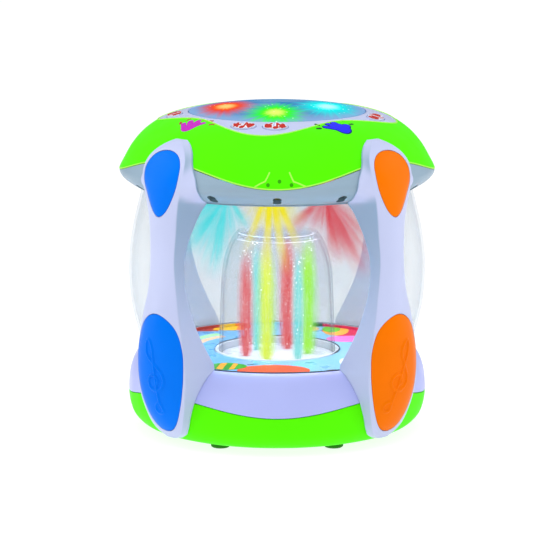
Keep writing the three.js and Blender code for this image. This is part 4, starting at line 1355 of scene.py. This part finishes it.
for name, shape, code, lift in DISC_PRINTS:
    ink = printed(f"{name}_ink", code)
    decal(name, within_disc(shape), ((-80, 80), (-80, 80)), 0.8, on_deck, ink, "printed_disc", lift, 0.3)


def wall_strip(start, end):
    """A low strip of the printed card, turned up against the foot of the window between two azimuths."""
    steps = max(2, round(abs(end - start)))
    profile = ((80.4, 49.0), (80.7, 49.0), (80.7, 51.6), (80.4, 51.6))
    turns = [start + (end - start) * k / steps for k in range(steps + 1)]
    vertices = [(*polar(radius, turn), z) for turn in turns for radius, z in profile]
    return vertices, tube_faces(steps + 1, len(profile))


for name, start, end, code in (
    ("red", 132, 118, "b4382c"), ("yellow", 118, 110, "fdc814"), ("orange", 110, 103, "fb8a0c"),
    ("sky", 103, 77, "8ed8f6"), ("dark", 77, 68, "2c5a44"), ("crimson", 68, 44, "dc2450"),
):
    ink = printed(f"card_{name}_ink", code)
    piece(f"card_edge_{name}", *wall_strip(start, end), ink, "printed_disc")


# ---- Corner posts, inlays and touch pads ----

# Smooth tables over height, in a post's own axes: how far its feet reach to either side of its middle, the
# half-width of its face, how far out the face's middle stands, and how far its edges lie below that.
FOOT_BELOW = (
    (7, 5), (10, 11), (14, 14.4), (22, 17.6), (32, 20.5), (42, 24), (51, 26.5), (58, 25.6), (67, 23),
    (78, 19.6), (88, 17), (100, 14.2), (112, 12.6), (120, 12.3),
)
wide_foot = smooth_table(  # the side of a foot towards the drum's front or back
    *FOOT_BELOW, (130, 13.8), (143, 17.2), (150, 19.6), (157, 24), (162, 27), (166, 27.4), (170, 25.6),
    (173, 23.3), (176.3, 20.9), (180, 18.5), (183, 16.7), (186.5, 13.6), (190, 8.4), (191.6, 4.6),
)
narrow_foot = smooth_table(
    *FOOT_BELOW, (130, 13), (143, 14.6), (157, 17.4), (166, 19.4), (173, 19.4), (180, 18.1), (183, 16.6),
    (186.5, 13.6), (190, 8.4), (191.6, 4.6),
)
ridge_half = smooth_table(
    (7, 4), (10, 9), (14, 12.6), (22, 16.4), (32, 19.4), (47, 21.6), (60, 20.8), (75, 18.2), (86, 15.7),
    (100, 12.6), (118, 10.7), (135, 11.6), (146, 12.6), (158, 14.8), (169, 17), (175, 17.4), (179, 16.8),
    (182.5, 15.1), (186, 12), (189, 8), (191.6, 3.6),
)
face_centre = smooth_table(
    (7, 92.6), (10.5, 95), (14, 97.2), (20, 100), (30, 103), (47, 105), (70, 105.6), (86, 105), (100, 103),
    (118, 101.8), (135, 101.8), (146, 102.2), (158, 102.4), (168, 101.9), (174, 100.3), (180, 97.3),
    (186, 93), (190, 88.6), (191.6, 85.6),
)
face_fall = smooth_table(
    (7, 0.4), (20, 2.8), (47, 4.4), (86, 4.5), (118, 2.6), (146, 3.6), (160, 3), (170, 2.3), (180, 1.8),
    (191.6, 0.6),
)


def face_radius(s, z):
    return face_centre(z) - face_fall(z) * np.minimum(1, (s / ridge_half(z)) ** 2)


def saddle_radius(z):
    """The radius of the shell behind a post: the base, then the window, then the top."""
    if z < 54:
        return BASE.points[np.argmin(np.abs(BASE.points[:, 1] - z)), 0]
    if z > CEILING_UNDERSIDE:
        return np.interp(TOP.where(1, z), TOP.length, TOP.points[:, 0])
    return window_radius(z)


def closed_curve(knots, steps):
    """A smooth closed outline through one side's [across, up] knots and their mirror images."""
    knots = [*knots, *((-s, z) for s, z in reversed(knots[1:-1]))]
    wrapped = np.array(knots[-2:] + knots + knots[:3], float)
    span = 24
    fine = smooth_path(wrapped, span)[2 * span : (2 + len(knots)) * span]
    looped = np.vstack([fine, fine[:1]])
    length = np.concatenate([[0], np.cumsum(np.hypot(*np.diff(looped, axis=0).T))])
    at = np.linspace(0, length[-1], steps, endpoint=False)
    return np.stack([np.interp(at, length, looped[:, k]) for k in (0, 1)], axis=1)


PAD_OUTLINE = closed_curve([
    (0, 86), (8.6, 83), (15.5, 75.6), (19.4, 63.5), (20, 51), (18.9, 40.6), (16.6, 31), (12, 20.4),
    (6.4, 14), (0, 12),
], 256)
INLAY_OUTLINE = closed_curve([
    (0, 185.7), (6.2, 184.7), (11, 182), (14, 177.6), (14.8, 172.4), (13.8, 165.8), (10.8, 158.6),
    (7.2, 151.8), (3.6, 147.6), (0, 146),
], 160)


def middle_height(outline):
    return (outline[:, 1].max() + outline[:, 1].min()) / 2


def plate(outline, outer, inner, rings):
    """A cushion-like plate over an outline: outer and inner give how far out (+X) each skin lies."""
    middle = middle_height(outline)
    count = len(outline)
    vertices, faces = [], []
    for skin, depth_at in enumerate((outer, inner)):
        start = len(vertices)
        s, z, share = np.array([(0.0, middle, 0.0)] + [
            (s * share, middle + (z - middle) * share, share) for share in rings for s, z in outline
        ]).T
        vertices += np.stack([depth_at(s, z, share), s, z], axis=1).tolist()
        faces += [(start, start + 1 + k, start + 1 + (k + 1) % count) for k in range(count)]
        faces += grid_faces(len(rings), count, wrap_columns=True, first=start + 1)
    rim = len(vertices) // 2
    for k in range(count):
        a, b = rim - count + k, rim - count + (k + 1) % count
        faces.append((a, b, b + rim, a + rim))
    return np.array(vertices), faces


def recess(outline, depth):
    """A cutter for the bed of a plate, a little wider than its outline."""
    middle, beyond_face = np.array([0, middle_height(outline)]), 125.0
    offset = outline - middle
    wider = middle + offset * (1 + GAP / np.hypot(*offset.T)[:, None])
    return cutter(*plate(
        wider, lambda s, z, share: np.full_like(s, beyond_face),
        lambda s, z, share: face_radius(s, z) - depth, (0.25, 0.5, 0.7, 0.85, 1),
    ))


def make_post(mirrored):
    """One post in its own axes, +X outwards, with the recesses for its inlay and touch pad."""
    heights = np.concatenate([
        np.linspace(POST_FOOT, 16, 10), np.linspace(18, 50, 24), np.linspace(51.4, 154, 62),
        np.linspace(155.4, 188.4, 32), np.linspace(189, POST_TOP, 5),
    ])
    rows = []
    for z in heights:
        wide, narrow, ridge = float(wide_foot(z)), float(narrow_foot(z)), float(ridge_half(z))
        face = [(float(face_radius(s, z)), s) for s in np.linspace(ridge, -ridge, 21)]
        reach = saddle_radius(z) + POST_GAP
        under = [(math.sqrt(reach**2 - s * s), s) for s in np.linspace(-narrow, wide, 13)]
        corner_out = face[0][0]
        flanks = []
        for foot, edge in ((wide, under[-1][0] + 1), (narrow, under[0][0] + 1)):
            depth = corner_out - edge
            flank = [  # a little hollow
                (corner_out - depth * (t + 0.048 * math.sin(math.pi * t)), ridge + (foot - ridge) * t)
                for t in (0.2, 0.4, 0.6, 0.8)
            ]
            flanks.append([*flank, (edge, foot)])
        loop = [*flanks[0][::-1], *face, *[(x, -s) for x, s in flanks[1]], *under]
        loop = rounded(loop, 1.1, corners=(0, 5, 25, 30))
        side = -1 if mirrored else 1
        rows.append([(x, side * s, z) for x, s in loop])
    body = cutter(np.array(rows).reshape(-1, 3), tube_faces(len(rows), len(rows[0])))
    body.data.materials.append(POST_LAVENDER_PAINTED_SHADE)
    return cut(body, [recess(PAD_OUTLINE, 3.2), recess(INLAY_OUTLINE, 1.2)], sharp=34)


CLEF = smooth_path([  # a treble clef in [across, up]
    (-2.0, 31.5), (-5.4, 29.6), (-6.2, 26.4), (-3.4, 24.4), (-0.6, 26), (-1.2, 31), (-0.6, 38), (0.6, 47),
    (1.8, 56), (2.8, 63), (2.4, 68.6), (0.2, 70.6), (-2.2, 67), (-2.6, 61.5), (1.6, 55.5), (5.8, 50),
    (7.0, 44.6), (4.2, 40), (-1.0, 38.6), (-5.4, 41.2), (-5.8, 45.6), (-2.6, 48.6), (1.4, 47.4), (2.2, 44.2),
    (0.2, 42.4),
], 6)


def relief_from(line, half_width, height):
    """A raised rounded line: the height it adds at [across, up]."""
    def value(s, z):
        away = union(*(capsule(s, z, start, end, 0.0) for start, end in zip(line[:-1], line[1:])))
        return height * np.clip(1 - (away / half_width) ** 2, 0, 1) ** 0.75

    return value


def leaned(line, lean):
    """A line turned by an angle in degrees about the middle of a touch pad."""
    turn, middle = math.radians(lean), np.array([0, 49])
    rotate = np.array([[math.cos(turn), -math.sin(turn)], [math.sin(turn), math.cos(turn)]])
    return (line - middle) @ rotate.T + middle


post_shapes = {mirrored: make_post(mirrored) for mirrored in (False, True)}
KEY_RINGS = (*np.linspace(0.04, 0.9, 52), *np.linspace(0.915, 1, 12))
DROP_RINGS = (*np.linspace(0.1, 0.85, 12), *np.linspace(0.88, 1, 8))
CORNERS = {  # azimuth, colour, slot, whether the post is mirrored, and lean of the clef in degrees
    "front_left": (225, BLUE, "blue_plastic", False, 14),
    "front_right": (315, ORANGE, "orange_plastic", True, -14),
    "rear_right": (45, BLUE, "blue_plastic", False, 14),
    "rear_left": (135, ORANGE, "orange_plastic", True, -14),
}
for corner, (azimuth, color, slot, mirrored, lean) in CORNERS.items():
    turn = Matrix.Rotation(math.radians(azimuth), 4, "Z")
    mesh = post_shapes[mirrored].data.copy()
    mesh.transform(turn)
    post = bpy.data.objects.new(f"corner_post_{corner}", mesh)
    bpy.context.collection.objects.link(post)
    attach(post, DRUM)
    stand_in(post, f"post_{corner}")

    relief = relief_from(leaned(CLEF, lean), 1.0, 0.8)
    key = plate(
        PAD_OUTLINE, lambda s, z, share: face_radius(s, z) + 1.7 * (1 - share**5) + relief(s, z),
        lambda s, z, share: face_radius(s, z) - 1.6, KEY_RINGS,
    )
    drop = plate(
        INLAY_OUTLINE, lambda s, z, share: face_radius(s, z) + 0.9 * (1 - share**5),
        lambda s, z, share: face_radius(s, z) - 0.8, DROP_RINGS,
    )
    for name, solid, node, body in (
        ("touch_key", key, "touch_pad", f"touch_{corner}"), ("drop_inlay", drop, "teardrop_inlay", DRUM),
    ):
        made = piece(f"{name}_{corner}", *solid, color, slot, f"{node}_{corner}", body, sharp=50)
        made.data.transform(turn)
for shape in post_shapes.values():
    bpy.data.objects.remove(shape)


# ---- Finishes for the frame's own nodes, and the floor ----

def battery_wrap():
    """Plastic sleeve: a pale end band on a teal body, with a few rubbed spots."""
    s = Shader("battery_wrap")
    tint = s.mix(s.ramp(s.math("ABSOLUTE", s.parts()[0]), 0.0150, 0.0152), srgb("1f7f8c"), srgb("d4d8dc"))
    tint = s.mix(s.ramp(s.noise(300, 4), 0.6, 0.75, 0.0, 0.3), tint, srgb("e8ecee"))
    return s.finish_solid(tint, s.ramp(s.noise(90, 2), 0.3, 0.7, 0.2, 0.4))


def wear(names, material):
    """Gives a material to nodes that are seen as they are."""
    for name in names:
        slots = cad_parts[name].data.materials
        slots.clear()
        slots.append(material)


SCREWS = [f"cover_screw_{k:02d}" for k in range(1, 13)]
SPRINGS = [f"pad_spring_{k}" for k in (1, 2, 3)]
wear([*SCREWS, "battery_door_screw", *SPRINGS, "fan_motor"], STEEL)
wear(["light_board", "main_board"], circuit_board())
wear(["battery_1", "battery_2", "battery_3"], battery_wrap())
wear(["speaker", "power_switch"], BLACK)
wear(["fan_impeller"], WHITE)
wear(["battery_door"], GREEN)


def studio_floor():
    """A pale floor that glows a little, so that it ends in white."""
    s = Shader("studio_floor")
    tint = s.mix(s.ramp(s.noise(4, 3), 0.3, 0.7), (0.30, 0.30, 0.305), (0.33, 0.33, 0.335))
    return s.finish_solid(
        tint, 0.9, Emission_Color=(1.0, 1.0, 1.0), Emission_Strength=0.84, Specular_IOR_Level=0.0,
    )


FLOOR_REACH, FLOOR_DROP = 14.0, -0.0003  # metres; just under the feet
floor_mesh = bpy.data.meshes.new("floor")
floor_corners = [(FLOOR_REACH * i, FLOOR_REACH * k, FLOOR_DROP) for i, k in SQUARE]
floor_mesh.from_pydata(floor_corners, [], [(0, 1, 2, 3)])
floor_mesh.materials.append(studio_floor())
floor = bpy.data.objects.new("floor", floor_mesh)
bpy.context.collection.objects.link(floor)
